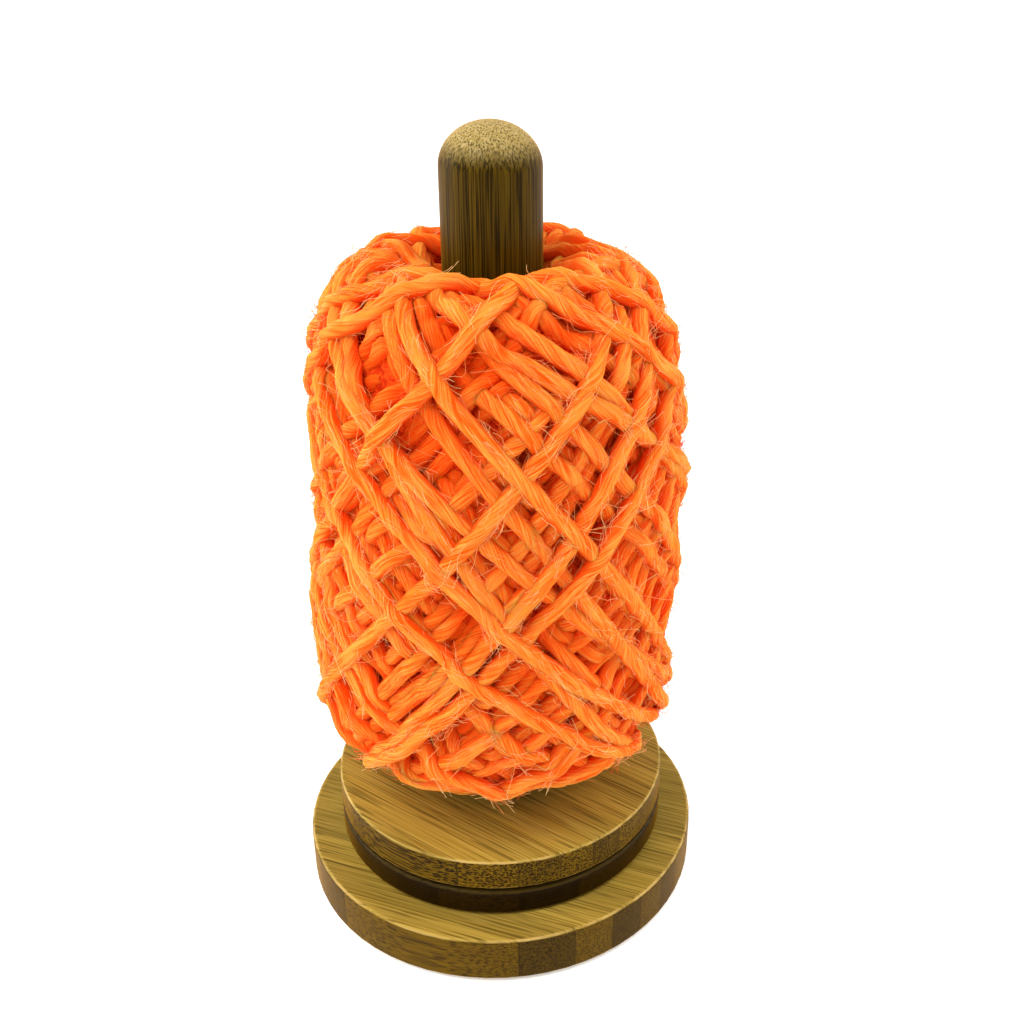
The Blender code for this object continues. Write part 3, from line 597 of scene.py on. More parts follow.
# %% Shape of the ball
FOOT_RADIUS = 0.0262
BELLY_RADIUS = 0.0549
BELLY_HEIGHT = 0.0238
UPPER_RADIUS = 0.0512
UPPER_HEIGHT = 0.1386
TOP_RADIUS = 0.0380
TOP_HEIGHT = 0.1615
CORNER_RADII = (0.0220, 0.0142, 0.0221, 0.0242)
EYE_RADIUS = 0.0165
EYE_DIP = 0.0045
CORNER_STEPS = 20
MERIDIAN_CELLS = 401
PACK_DEPTH = 0.012

BALL_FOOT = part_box("yarn_winding")[0].z
BALL_MIDDLE = BALL_FOOT + TOP_HEIGHT / 2


def rounded(before, corner, after, radius, depth):
    """Round the corner of an outline with an arc, drawn at a depth inside the outline."""
    first = (corner - before) / np.linalg.norm(corner - before)
    second = (after - corner) / np.linalg.norm(after - corner)
    first_out, second_out = np.array((first[1], -first[0])), np.array((second[1], -second[0]))
    centre = corner - radius * (first_out + second_out) / (1 + first_out @ second_out)
    start, end = (math.atan2(way[1], way[0]) for way in (first_out, second_out))
    angles = np.linspace(start, end, CORNER_STEPS + 1)
    return centre + (radius - depth) * np.stack([np.cos(angles), np.sin(angles)], axis=1)


def reached_by(steps):
    """Give how far along a line each of its points lies, from the lengths between them."""
    return np.concatenate(([0.0], np.cumsum(steps)))


def meridian(depth):
    """Give the ball's side view at a depth under its outside, as evenly spaced (radius, height) points."""
    corners = np.array((
        (0.0, 0.0), (FOOT_RADIUS, 0.0), (BELLY_RADIUS, BELLY_HEIGHT),
        (UPPER_RADIUS, UPPER_HEIGHT), (TOP_RADIUS, TOP_HEIGHT), (0.0, TOP_HEIGHT),
    ))
    arcs = [rounded(corners[index], corners[index + 1], corners[index + 2], radius, depth)
            for index, radius in enumerate(CORNER_RADII)]
    points = np.concatenate(([(EYE_RADIUS, depth)], *arcs, [(EYE_RADIUS, TOP_HEIGHT - EYE_DIP - depth)]))
    points = points[points[:, 0] >= EYE_RADIUS]
    reached = reached_by(np.linalg.norm(np.diff(points, axis=0), axis=1))
    spaced = np.linspace(0.0, reached[-1], MERIDIAN_CELLS)
    even = np.stack([np.interp(spaced, reached, points[:, side]) for side in (0, 1)], axis=1)
    return even, reached[-1]


outside, MERIDIAN_LENGTH = meridian(0.0)
inside, _ = meridian(PACK_DEPTH)
print("Length of the ball's side view, in mm:", round(1000 * MERIDIAN_LENGTH, 1))

# %% Places on the ball
LEAN_HEIGHTS = (0.0, 0.032, 0.064, 0.097, 0.129, 0.161)
LEAN = (0.0010, -0.0011, -0.0006, 0.0018, 0.0007, -0.0005)
LEAN_FADE = 0.020
FOOT_WIDER = 0.10
FOOT_SHALLOWER = 0.09
FOOT_SPREAD_HEIGHT = 0.036
RAY_REACH = (0.15, 0.45)
RAY_STEPS = 3001


def on_meridian(line, share):
    """Read a meridian at shares of its length."""
    cells = np.linspace(0.0, 1.0, MERIDIAN_CELLS)
    return np.interp(share, cells, line[:, 0]), np.interp(share, cells, line[:, 1])


def lean_at(radius, height):
    """Give how far the soft ball leans to the right at a place, which fades out towards the dowel."""
    return np.interp(height, LEAN_HEIGHTS, LEAN) * np.clip((radius - EYE_RADIUS) / LEAN_FADE, 0.0, 1.0)


def on_ball(angle, share, depth):
    """Give the points at an angle, a share of the meridian and a depth under the outside.

    The ball's own weight spreads its foot, which is wider than deep.
    """
    far_radius, far_height = on_meridian(outside, share)
    near_radius, near_height = on_meridian(inside, share)
    mix = depth / PACK_DEPTH
    radius = far_radius + (near_radius - far_radius) * mix
    height = far_height + (near_height - far_height) * mix
    spread = np.clip(1.0 - height / FOOT_SPREAD_HEIGHT, 0.0, 1.0)
    along = radius * np.cos(angle) * (1.0 + FOOT_WIDER * spread) + lean_at(radius, height)
    across = radius * np.sin(angle) * (1.0 - FOOT_SHALLOWER * spread)
    return np.stack([along, across, BALL_FOOT + height], axis=-1)


def seen_at(pixel):
    """Give the angle and the meridian share of the ball's outside that a pixel of the photograph shows."""
    aim = camera_forward + camera_right * ((pixel[0] - AXIS_PIXEL[0]) / FOCAL_PIXELS)
    aim = aim + camera_up * ((AXIS_PIXEL[1] - pixel[1]) / FOCAL_PIXELS)
    reach = np.linspace(*RAY_REACH, RAY_STEPS)[:, None]
    spots = np.array(CAMERA_PLACE) + reach * np.array(aim)
    height = spots[:, 2] - BALL_FOOT
    across = spots[:, 0] - np.interp(height, LEAN_HEIGHTS, LEAN)
    radius = np.hypot(across, spots[:, 1])
    wide = np.interp(height, outside[:, 1], outside[:, 0], left=0.0, right=0.0)
    hits = np.flatnonzero(radius < wide)
    first = hits[0] if len(hits) else np.argmin(radius - wide)
    nearest = np.argmin(np.hypot(outside[:, 0] - radius[first], outside[:, 1] - height[first]))
    return math.atan2(spots[first, 1], across[first]), nearest / (MERIDIAN_CELLS - 1)


BALL_MIDDLE_PIXEL = (495, 500)
print("Middle of the ball in the picture:", [round(part, 3) for part in seen_at(BALL_MIDDLE_PIXEL)])

# %% Passes of the winder
PASS_TURN = 1.357
TURN_SPREAD = 0.14
SHARPNESS = 0.85
SPACING = 0.0012
TUCKED_PHASE = 0.9
ARC_PHASE = 1.7
NARROWEST_REACH = 0.82
PASS_STEPS = 900
SEARCH_STEPS = 400


def swing(phase):
    """Give the meridian share of a pass: from the foot at phase 0 to the top at phase pi, and back."""
    return 0.5 - 0.5 * np.arcsin(SHARPNESS * np.cos(phase)) / math.asin(SHARPNESS)


def evenly(angle, share):
    """Space the points of a stretch evenly along the ball's surface."""
    radius = on_meridian(outside, share)[0]
    around = np.diff(angle) * (radius[1:] + radius[:-1]) / 2
    reached = reached_by(np.hypot(around, np.diff(share) * MERIDIAN_LENGTH))
    spaced = np.linspace(0.0, reached[-1], int(reached[-1] / SPACING) + 1)
    return np.interp(spaced, reached, angle), np.interp(spaced, reached, share)


def winder_pass(start, turns, reaches, first=0.0, last=math.tau):
    """Give a pass up and down the ball, or the part of one between two phases.

    It starts at an angle, its turn goes from the first to the second of turns on its first stretch,
    and reaches say how near to the eye it comes at the foot, at the top and at the foot again.
    """
    phase = np.linspace(first, last, PASS_STEPS)
    turn = np.interp(phase, (0.0, 1.0), turns)
    angle = start + reached_by((turn[1:] + turn[:-1]) / 2 * np.diff(phase))
    share = 0.5 + (swing(phase) - 0.5) * np.interp(phase, (0.0, math.pi, math.tau), reaches)
    return evenly(angle, share)


def pass_through(first, second):
    """Give a pass that runs up through two places in the photograph, and ends behind the eye."""
    (angle_1, share_1), (angle_2, share_2) = seen_at(first), seen_at(second)
    phase = np.linspace(0.0, math.pi, SEARCH_STEPS)
    phase_1, phase_2 = np.interp((share_1, share_2), swing(phase), phase)
    slope = (angle_2 - angle_1) / (phase_2 - phase_1)
    start = angle_1 - slope * phase_1
    return winder_pass(start, (slope, slope), (1.0, 1.0, 1.0), last=math.pi + TUCKED_PHASE)


def arc_over(top_angle, turn, reach):
    """Give the top part of a pass that crosses beside the eye at an angle."""
    start = top_angle - turn * ARC_PHASE
    return winder_pass(start, (turn, turn), (1.0, reach, 1.0), math.pi - ARC_PHASE, math.pi + ARC_PHASE)


def arc_under(foot_angle, turn, reach):
    """Give the foot part of a pass that crosses under the belly at an angle."""
    start = foot_angle - turn * ARC_PHASE
    return winder_pass(start, (turn, turn), (reach, 1.0, 1.0), -ARC_PHASE, ARC_PHASE)


print("Points of one pass:", len(winder_pass(0.0, (PASS_TURN, PASS_TURN), (1.0, 1.0, 1.0))[0]))

# %% A map of the ball's height, and how a pass is laid on it
TURN_CELLS = 400
RISE_CELLS = 260
STRAND_RADIUS = 0.0024
FOOTPRINT_SHARE = 0.9
REST_PLACES = 9
PRESS_PLACES = 15
SQUEEZE = 0.42
SLACK = 10.0
FRONT_SLACK = 3.0
PULLS = 400


def cells_at(angle, share):
    """Give the cells of the map under places on the ball."""
    turn = np.floor(angle / math.tau * TURN_CELLS).astype(int) % TURN_CELLS
    rise = np.clip((share * RISE_CELLS).astype(int), 0, RISE_CELLS - 1)
    return turn, rise


def footprint(angle, share, count):
    """Give the cells under a strand's width, how high the round strand stands over each, and its slant."""
    radius = on_meridian(outside, share)[0]
    turn_step = np.gradient(angle) * radius
    rise_step = np.gradient(share) * MERIDIAN_LENGTH
    size = np.hypot(turn_step, rise_step)
    offset = np.linspace(-FOOTPRINT_SHARE, FOOTPRINT_SHARE, count)[None, :] * STRAND_RADIUS
    turn, rise = cells_at(
        angle[:, None] - offset * (rise_step / size / radius)[:, None],
        share[:, None] + offset * (turn_step / size / MERIDIAN_LENGTH)[:, None],
    )
    return turn, rise, np.sqrt(STRAND_RADIUS ** 2 - offset ** 2), turn_step / size


def rest(field, angle, share, slack, first_height=None):
    """Rest a taut strand on the map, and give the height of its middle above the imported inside."""
    turn, rise, lift, level = footprint(angle, share, REST_PLACES)
    contact = (field[turn, rise] + SQUEEZE * lift).max(axis=1)
    bend = slack * level ** 2 / on_meridian(outside, share)[0]
    height = contact.copy()
    if first_height is not None:
        height[0] = first_height
    for _ in range(PULLS):
        taut = (height[:-2] + height[2:]) / 2 - bend[1:-1] * SPACING ** 2 / 2
        height[1:-1] = np.maximum(contact[1:-1], taut)
    return height


def press(field, angle, share, height):
    """Add a strand that rests on the map to the map."""
    turn, rise, lift, _ = footprint(angle, share, PRESS_PLACES)
    np.maximum.at(field, (turn, rise), height[:, None] + SQUEEZE * lift)


# %% The passes in front, from the photograph
# An arc is its angle, its turn and how near to the eye it comes. A pass is two places in pixels.
TOP_ARCS = ((-2.20, 1.45, 0.93), (-0.95, 1.50, 0.92), (-1.85, 1.55, 0.955), (-1.45, 1.60, 0.98))
EARLY_TOP_ARCS = 2
FOOT_ARCS = (
    (-2.35, 1.40, 0.74),
    (-0.90, 1.45, 0.72),
    (-1.70, 1.50, 0.80),
    (-2.15, 1.50, 0.88),
    (-1.10, 1.45, 0.87),
)
FRONT_PASSES = (
    ((334, 352), (371, 442)),
    ((342, 396), (402, 473)),
    ((564, 407), (620, 464)),
    ((515, 520), (554, 562)),
    ((494, 331), (660, 432)),
    ((584, 534), (529, 610)),
    ((466, 326), (379, 422)),
    ((609, 327), (376, 632)),
    ((427, 368), (613, 573)),
    ((615, 548), (480, 695)),
    ((383, 520), (606, 708)),
    ((336, 533), (479, 699)),
)


def front_lanes():
    """Give the last lanes of the winding, in the order in which they are laid."""
    top_arcs = [arc_over(*arc) for arc in TOP_ARCS]
    foot_arcs = [arc_under(*arc) for arc in FOOT_ARCS]
    passes = [pass_through(first, second) for first, second in FRONT_PASSES]
    return top_arcs[:EARLY_TOP_ARCS] + foot_arcs + passes + top_arcs[EARLY_TOP_ARCS:]


print("Lanes in front:", len(front_lanes()))

# %% Winding the ball
INSIDE_PASSES = 130
CANDIDATES = 12
YARN_SEED = 10
LOOSE_POINTS = 14
TUCK_LENGTH = 0.020
TUCK_DEPTH = 0.012
PERCENTILES = (5, 25, 50, 75, 95)


def lowest_lane(field, start, turn, foot_reach, rng):
    """Draw a few passes that go on from the last one, and give the one that would lie lowest."""
    lanes = []
    for _ in range(CANDIDATES):
        next_turn = rng.normal(PASS_TURN, TURN_SPREAD)
        reaches = (foot_reach, *rng.uniform(NARROWEST_REACH, 1.0, 2))
        lane = winder_pass(start, (turn, next_turn), reaches)
        lanes.append((field[cells_at(*lane)].mean(), len(lanes), lane, next_turn, reaches[-1]))
    return min(lanes)[2:]


def wind_inside(field, rng):
    """Wind one unbroken strand, pass after pass, and give its angles, shares and heights."""
    turn, foot_reach = PASS_TURN, 1.0
    angle, share, first_height = np.zeros(1), np.zeros(1), STRAND_RADIUS
    laid = []
    for _ in range(INSIDE_PASSES):
        lane, turn, foot_reach = lowest_lane(field, angle[-1], turn, foot_reach, rng)
        angle, share = np.concatenate((angle, lane[0][1:])), np.concatenate((share, lane[1][1:]))
        height = rest(field, angle, share, SLACK, first_height)
        done = len(angle) - LOOSE_POINTS
        press(field, angle[:done], share[:done], height[:done])
        laid.append(np.stack((angle[:done], share[:done], height[:done])))
        angle, share, first_height = angle[done:], share[done:], height[done]
    return np.concatenate(laid, axis=1)


def tuck_ends(height):
    """Let both ends of a strand dive under its neighbours."""
    count = np.arange(len(height))
    from_end = np.minimum(count, len(height) - 1 - count) * SPACING
    return height - TUCK_DEPTH * np.clip(1.0 - from_end / TUCK_LENGTH, 0.0, 1.0) ** 2


def wind():
    """Wind the ball, and give its height map and its strands as angles, shares and heights."""
    rng = np.random.default_rng(YARN_SEED)
    field = np.zeros((TURN_CELLS, RISE_CELLS))
    strands = [wind_inside(field, rng)]
    for lane in front_lanes():
        height = rest(field, *lane, FRONT_SLACK)
        press(field, *lane, height)
        strands.append((*lane, tuck_ends(height)))
    return field, strands


ball_map, strands = wind()
print("Height of the winding, in mm:", np.round(1000 * np.percentile(ball_map, PERCENTILES), 1))
belly = ball_map[:, RISE_CELLS // 3: 2 * RISE_CELLS // 3]
print("At the belly, in mm:", np.round(1000 * np.percentile(belly, PERCENTILES), 1))

# %% From the map to the ball
TOP_REACH = 7
TOP_SOFTENING = 20
PACKING = 0.68
KEPT_DEPTH = 0.0105
FEWEST_POINTS = 5
CELL_MARGIN = 0.001


def spread(field, steps, join):
    """Run a filter over neighbouring cells of the map, which closes on itself round the ball."""
    for _ in range(steps):
        around = join(field, join(np.roll(field, 1, axis=0), np.roll(field, -1, axis=0)))
        padded = np.pad(around, ((0, 0), (1, 1)), mode="edge")
        field = join(around, join(padded[:, 2:], padded[:, :-2]))
    return field


def mean_of(first, second):
    """Give the mean of two maps."""
    return (first + second) / 2


top_map = spread(spread(ball_map, TOP_REACH, np.maximum), TOP_SOFTENING, mean_of)


def local_top(angle, share):
    """Read the height of the ball's outside at places between the middles of the map's cells."""
    turn = (angle / math.tau * TURN_CELLS - 0.5) % TURN_CELLS
    rise = np.clip(share * RISE_CELLS - 0.5, 0, RISE_CELLS - 1 - CELL_MARGIN)
    turn_cell, rise_cell = turn.astype(int), rise.astype(int)
    turn_mix, rise_mix = turn - turn_cell, rise - rise_cell
    after = (turn_cell + 1) % TURN_CELLS
    low = top_map[turn_cell, rise_cell] * (1 - turn_mix) + top_map[after, rise_cell] * turn_mix
    high = top_map[turn_cell, rise_cell + 1] * (1 - turn_mix) + top_map[after, rise_cell + 1] * turn_mix
    return low * (1 - rise_mix) + high * rise_mix


def strand_points():
    """Give the stretches of yarn that lie near enough to the outside to be seen, with their depths."""
    stretches = []
    for angle, share, height in strands:
        below = local_top(angle, share) - SQUEEZE * STRAND_RADIUS - height
        depth = STRAND_RADIUS + PACKING * np.maximum(below, 0.0)
        seen = depth < KEPT_DEPTH
        edges = np.flatnonzero(np.diff(seen.astype(int))) + 1
        for part in np.split(np.arange(len(seen)), edges):
            if seen[part[0]] and len(part) >= FEWEST_POINTS:
                stretches.append((on_ball(angle[part], share[part], depth[part]), depth[part]))
    return stretches


stretches = strand_points()
print("Stretches:", len(stretches), "with points:", sum(len(depth) for _, depth in stretches))

# %% [markdown]
# ## The strand
#
# Jute yarn is a few plies of long, stiff fibres with a slack twist. A tube with shallow lobes that
# turns slowly along its length has the same outline and needs far fewer faces than separate plies.
# Geometry Nodes sweep the lobed outline along every stretch of the winding. The twist is the curve's
# tilt. Attributes stay on the mesh for the material and for the loose fibres: the place round the
# tube, the length along it, the way it runs, and how deep in the ball it lies.

# %% Growing a piece with Geometry Nodes
FLOAT_FIELD = {"domain": "POINT", "data_type": "FLOAT"}
VECTOR_FIELD = {"domain": "POINT", "data_type": "FLOAT_VECTOR"}


def new_tree(name, sizes):
    """Make a Geometry Nodes tree with a geometry input and output, and one input for each size."""
    tree = bpy.data.node_groups.new(name, "GeometryNodeTree")
    tree.interface.new_socket("Geometry", in_out="INPUT", socket_type="NodeSocketGeometry")
    tree.interface.new_socket("Geometry", in_out="OUTPUT", socket_type="NodeSocketGeometry")
    for size, value in sizes.items():
        kind = "NodeSocketInt" if isinstance(value, int) else "NodeSocketFloat"
        tree.interface.new_socket(size, in_out="INPUT", socket_type=kind).default_value = value
    return tree, tree.nodes.new("NodeGroupInput").outputs


def close_tree(tree, curve, outline, material):
    """End a tree: sweep an outline along its curves, and give real, smooth geometry in one material."""
    swept = add(tree, "GeometryNodeCurveToMesh", {
        "Curve": curve, "Profile Curve": outline, "Fill Caps": True,
    })
    smooth = add(tree, "GeometryNodeSetShadeSmooth", (swept,))
    solid = add(tree, "GeometryNodeRealizeInstances", (smooth,))
    finish = add(tree, "GeometryNodeSetMaterial", {"Geometry": solid, "Material": material})
    add(tree, "NodeGroupOutput", (finish,))
    return tree


def grown(piece, tree, sizes):
    """Run a tree on a piece with these sizes, and keep the result as the piece's plain mesh."""
    bpy.context.scene.collection.objects.link(piece)
    modifier = piece.modifiers.new(tree.name, "NODES")
    modifier.node_group = tree
    for socket in tree.interface.items_tree:
        if socket.in_out == "INPUT" and socket.name in sizes:
            modifier[socket.identifier] = sizes[socket.name]
    bpy.context.view_layer.update()
    graph = bpy.context.evaluated_depsgraph_get()
    mesh = bpy.data.meshes.new_from_object(piece.evaluated_get(graph))
    piece.modifiers.clear()
    piece.data = mesh
    mesh.name = piece.name
    return piece


# %% Geometry Nodes: the twisted strand
PLY_COUNT = 3
LOBE_DEPTH_SHARE = 0.075
OUTLINE_POINTS = 15
THINNEST = 0.86
THICKEST = 1.14
TWIST_PITCH = 0.042
TWIST_WANDER = 1.6
WANDERS_EACH_METRE = 30.0
SLUBS_EACH_METRE = 90.0


def twisted_curve(tree, given):
    """Turn lines into curves that carry their length and direction, a slow twist and thick places."""
    curve = add(tree, "GeometryNodeMeshToCurve", (given["Geometry"],))
    length = add(tree, "GeometryNodeSplineParameter").outputs["Length"]
    curve = add(tree, "GeometryNodeStoreNamedAttribute", {
        "Geometry": curve, "Name": "along", "Value": length,
    }, **FLOAT_FIELD)
    curve = add(tree, "GeometryNodeStoreNamedAttribute", {
        "Geometry": curve, "Name": "runs", "Value": add(tree, "GeometryNodeInputTangent"),
    }, **VECTOR_FIELD)
    wander = add(tree, "ShaderNodeTexNoise", {"Scale": WANDERS_EACH_METRE, "Detail": 1.0})
    wander = add(tree, "ShaderNodeMath", (wander, TWIST_WANDER), operation="MULTIPLY")
    turns = add(tree, "ShaderNodeMath", (length, given["Twist Pitch"]), operation="DIVIDE")
    uneven = add(tree, "ShaderNodeMath", (turns, wander))
    tilt = add(tree, "ShaderNodeMath", (uneven, math.tau), operation="MULTIPLY")
    curve = add(tree, "GeometryNodeSetCurveTilt", {"Curve": curve, "Tilt": tilt})
    slubs = add(tree, "ShaderNodeTexNoise", {"Scale": SLUBS_EACH_METRE, "Detail": 1.0})
    thickness = add(tree, "ShaderNodeMapRange", (slubs, 0.3, 0.7, THINNEST, THICKEST), **SMOOTH)
    return add(tree, "GeometryNodeSetCurveRadius", {"Curve": curve, "Radius": thickness})


def lobed_outline(tree, given):
    """Give a circle with one shallow lobe for each ply, which remembers the place round the strand."""
    ring = add(tree, "GeometryNodeCurvePrimitiveCircle", {
        "Resolution": given["Outline Points"], "Radius": 1.0,
    })
    place = add(tree, "GeometryNodeInputPosition")
    ring = add(tree, "GeometryNodeStoreNamedAttribute", {
        "Geometry": ring, "Name": "across", "Value": place,
    }, **VECTOR_FIELD)
    waves = add(tree, "ShaderNodeMath", (given["Plies"], math.tau), operation="MULTIPLY")
    share = add(tree, "GeometryNodeSplineParameter").outputs["Factor"]
    angle = add(tree, "ShaderNodeMath", (share, waves), operation="MULTIPLY")
    lobe = add(tree, "ShaderNodeMath", (angle,), operation="COSINE")
    fall = add(tree, "ShaderNodeMath", (1.0, lobe), operation="SUBTRACT")
    fall = add(tree, "ShaderNodeMath", (given["Lobe Share"], fall), operation="MULTIPLY")
    reach = add(tree, "ShaderNodeMath", (1.0, fall), operation="SUBTRACT")
    reach = add(tree, "ShaderNodeMath", (given["Strand Radius"], reach), operation="MULTIPLY")
    lobed = add(tree, "ShaderNodeVectorMath", {0: place, "Scale": reach}, operation="SCALE")
    return add(tree, "GeometryNodeSetPosition", {"Geometry": ring, "Position": lobed})


def strand_tree(material):
    """Make the tree that sweeps a lobed, twisted outline along every curve."""
    tree, given = new_tree("twisted_strand", {
        "Strand Radius": STRAND_RADIUS, "Twist Pitch": TWIST_PITCH, "Lobe Share": LOBE_DEPTH_SHARE,
        "Outline Points": OUTLINE_POINTS, "Plies": PLY_COUNT,
    })
    return close_tree(tree, twisted_curve(tree, given), lobed_outline(tree, given), material)


def polyline_piece(name, lines):
    """Make an object whose mesh holds open lines of points, with a depth at every point."""
    points = np.concatenate([line for line, _ in lines])
    depths = np.concatenate([depth for _, depth in lines])
    edges, start = [], 0
    for line, _ in lines:
        edges += [(start + index, start + index + 1) for index in range(len(line) - 1)]
        start += len(line)
    mesh = bpy.data.meshes.new(name)
    mesh.from_pydata(points.tolist(), edges, [])
    mesh.attributes.new("depth", "FLOAT", "POINT").data.foreach_set("value", depths.astype(np.float32))
    return bpy.data.objects.new(name, mesh)


# %% [markdown]
# ## What jute looks like
#
# The fibres are long, straight and glossy on their own, but the strand as a whole is rough and
# matt, with pale fibres on top and saturated orange between them. Between strands the light
# bounces from orange to orange and turns red. The yarn that lies deeper and pressed together, and
# the sides of the strands that face into the ball, are also painted redder and darker: that is
# painted shade, for places that only the light through their neighbours reaches.

# %% Patterns along the strand
FIBRE_PITCH = 0.00040
CLUMP_PITCH = 0.00110
FIBRE_LENGTH_STRETCH = 0.055
PATCHES_EACH_METRE = 95.0
END_ROUNDING = 0.35


def fibre_space(tree, across, along, pitch):
    """Give coordinates that run along the strand, with one feature for each pitch round it."""
    return add(tree, "ShaderNodeCombineXYZ", (
        add(tree, "ShaderNodeMath", (across["X"], STRAND_RADIUS / pitch), operation="MULTIPLY"),
        add(tree, "ShaderNodeMath", (across["Y"], STRAND_RADIUS / pitch), operation="MULTIPLY"),
        add(tree, "ShaderNodeMath", (along, FIBRE_LENGTH_STRETCH / pitch), operation="MULTIPLY"),
    ))


def facing_out(tree):
    """Tell how far the surface faces away from the middle of the ball: 1 is straight out."""
    place = add(tree, "ShaderNodeTexCoord")
    parts = add(tree, "ShaderNodeSeparateXYZ", (place.outputs["Object"],)).outputs
    rise = add(tree, "ShaderNodeMath", (parts["Z"], BALL_MIDDLE), operation="SUBTRACT")
    rise = add(tree, "ShaderNodeMath", (rise, END_ROUNDING), operation="MULTIPLY")
    way_out = add(tree, "ShaderNodeCombineXYZ", (parts["X"], parts["Y"], rise))
    way_out = add(tree, "ShaderNodeVectorMath", (way_out,), operation="NORMALIZE")
    return add(tree, "ShaderNodeVectorMath", (place.outputs["Normal"], way_out), operation="DOT_PRODUCT")


# %% The yarn material
# The yarn's painted shade grows between these depths, from none to full.
LIT_DEPTH = 0.0035
FULL_SHADE_DEPTH = 0.0095
CLUMP_RELIEF = 1.5


def yarn_material(name):
    """Make dyed jute, whose fibres run along the strand. Its tone is painted redder with depth and on the
    sides that face into the ball, as painted shade.
    """
    material, tree = new_material(name)
    along = add(tree, "ShaderNodeAttribute", attribute_name="along").outputs["Fac"]
    depth = add(tree, "ShaderNodeAttribute", attribute_name="depth").outputs["Fac"]
    across = add(tree, "ShaderNodeAttribute", attribute_name="across").outputs["Vector"]
    across = add(tree, "ShaderNodeSeparateXYZ", (across,)).outputs
    fibres = add(tree, "ShaderNodeTexNoise", {
        "Vector": fibre_space(tree, across, along, FIBRE_PITCH),
        "Scale": 1.0, "Detail": 2.0, "Roughness": 0.6,
    })
    clumps = add(tree, "ShaderNodeTexNoise", {
        "Vector": fibre_space(tree, across, along, CLUMP_PITCH), "Scale": 1.0, "Detail": 1.0,
    })
    place = add(tree, "ShaderNodeTexCoord").outputs["Object"]
    patches = add(tree, "ShaderNodeTexNoise", {
        "Vector": place, "Scale": PATCHES_EACH_METRE, "Detail": 1.0,
    })
    on_top = add(tree, "ShaderNodeMapRange", (fibres, 0.35, 0.65), **SMOOTH)
    # Painted shade: deeper yarn and the strands' sides that face into the ball are painted redder and darker.
    gap_shade_tint = layered(tree, colour("FF4404"), (on_top, colour("FF6A18")))
    depth_shade = add(tree, "ShaderNodeMapRange", (depth, LIT_DEPTH, FULL_SHADE_DEPTH), **SMOOTH)
    side = add(tree, "ShaderNodeMapRange", (facing_out(tree), 0.10, 0.85, 0.85, 0.0), **SMOOTH)
    tint = layered(
        tree, colour("FF6008"),
        (add(tree, "ShaderNodeMapRange", (clumps, 0.36, 0.60), **SMOOTH), colour("FF8C2C")),
        (add(tree, "ShaderNodeMapRange", (fibres, 0.50, 0.66, 0.0, 0.7), **SMOOTH), colour("FFB25A")),
        (add(tree, "ShaderNodeMapRange", (fibres, 0.46, 0.34, 0.0, 0.5), **SMOOTH), colour("FF4604")),
        (add(tree, "ShaderNodeMapRange", (patches, 0.45, 0.70, 0.0, 0.5), **SMOOTH), colour("FFA244")),
        # The last two layers are painted shade.
        (side, colour("FF4A04")),
        (depth_shade, gap_shade_tint),
    )
    heights = add(tree, "ShaderNodeMath", (clumps, CLUMP_RELIEF), operation="MULTIPLY")
    relief = add(tree, "ShaderNodeMath", (fibres, heights))
    return finished(material, {
        "Base Color": tint, "Roughness": 0.8, "Specular IOR Level": 0.05,
        "Normal": add(tree, "ShaderNodeBump", {"Height": relief, "Strength": 1.0, "Distance": 0.0006}),
        "Sheen Weight": 0.12, "Sheen Roughness": 0.5, "Sheen Tint": colour("FF9030"),
        "Subsurface Weight": 0.7, "Subsurface Scale": 0.0030, "Subsurface Radius": (1.0, 0.30, 0.08),
    })


# %% The strands
STRAND_PIECES = 7

jute = yarn_material("dyed_jute_yarn")
sweep_strand = strand_tree(jute)
strand_pieces = []
for index in range(STRAND_PIECES):
    lines = stretches[index::STRAND_PIECES]
    strand = grown(polyline_piece(f"jute_strand_{index + 1}", lines), sweep_strand, {})
    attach(strand, "yarn_ball")
    strand_pieces.append(strand)
    print(strand.name, "faces:", len(strand.data.polygons))
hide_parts("yarn_winding")

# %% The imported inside
CORE_STEPS = 96
CORE_SKIP = 8
CORE_DEPTH = 0.0088
BORE_RADIUS = 0.0143
TANGLES_EACH_METRE = 420.0


def shaded_packed_material():
    """Make the yarn that shows at the bottom of the gaps, painted darker and redder than the strands as
    painted shade.
    """
    material, tree = new_material("packed_jute_inside_painted_shade")
    tangle = add(tree, "ShaderNodeTexNoise", {
        "Vector": add(tree, "ShaderNodeTexCoord").outputs["Object"], "Scale": TANGLES_EACH_METRE,
        "Detail": 3.0, "Distortion": 1.5,
    })
    share = add(tree, "ShaderNodeMapRange", (tangle, 0.35, 0.65), **SMOOTH)
    return finished(material, {
        "Base Color": layered(tree, colour("C02800"), (share, colour("EE4E0C"))),
        "Normal": add(tree, "ShaderNodeBump", {"Height": tangle, "Strength": 1.0, "Distance": 0.0008}),
        "Roughness": 0.9, "Specular IOR Level": 0.1,
    })


def core_profile():
    """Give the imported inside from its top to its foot, with the bore for the dowel."""
    line, _ = meridian(CORE_DEPTH)
    points = [(radius, BALL_FOOT + height) for radius, height in line[::CORE_SKIP][::-1]]
    return [(BORE_RADIUS, points[0][1])] + points + [(BORE_RADIUS, points[-1][1])]


packed = lathe("packed_inside", core_profile(), CORE_STEPS, shaded_packed_material())
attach(packed, "yarn_ball")
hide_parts("yarn_core")
print("Packed inside faces:", len(packed.data.polygons))

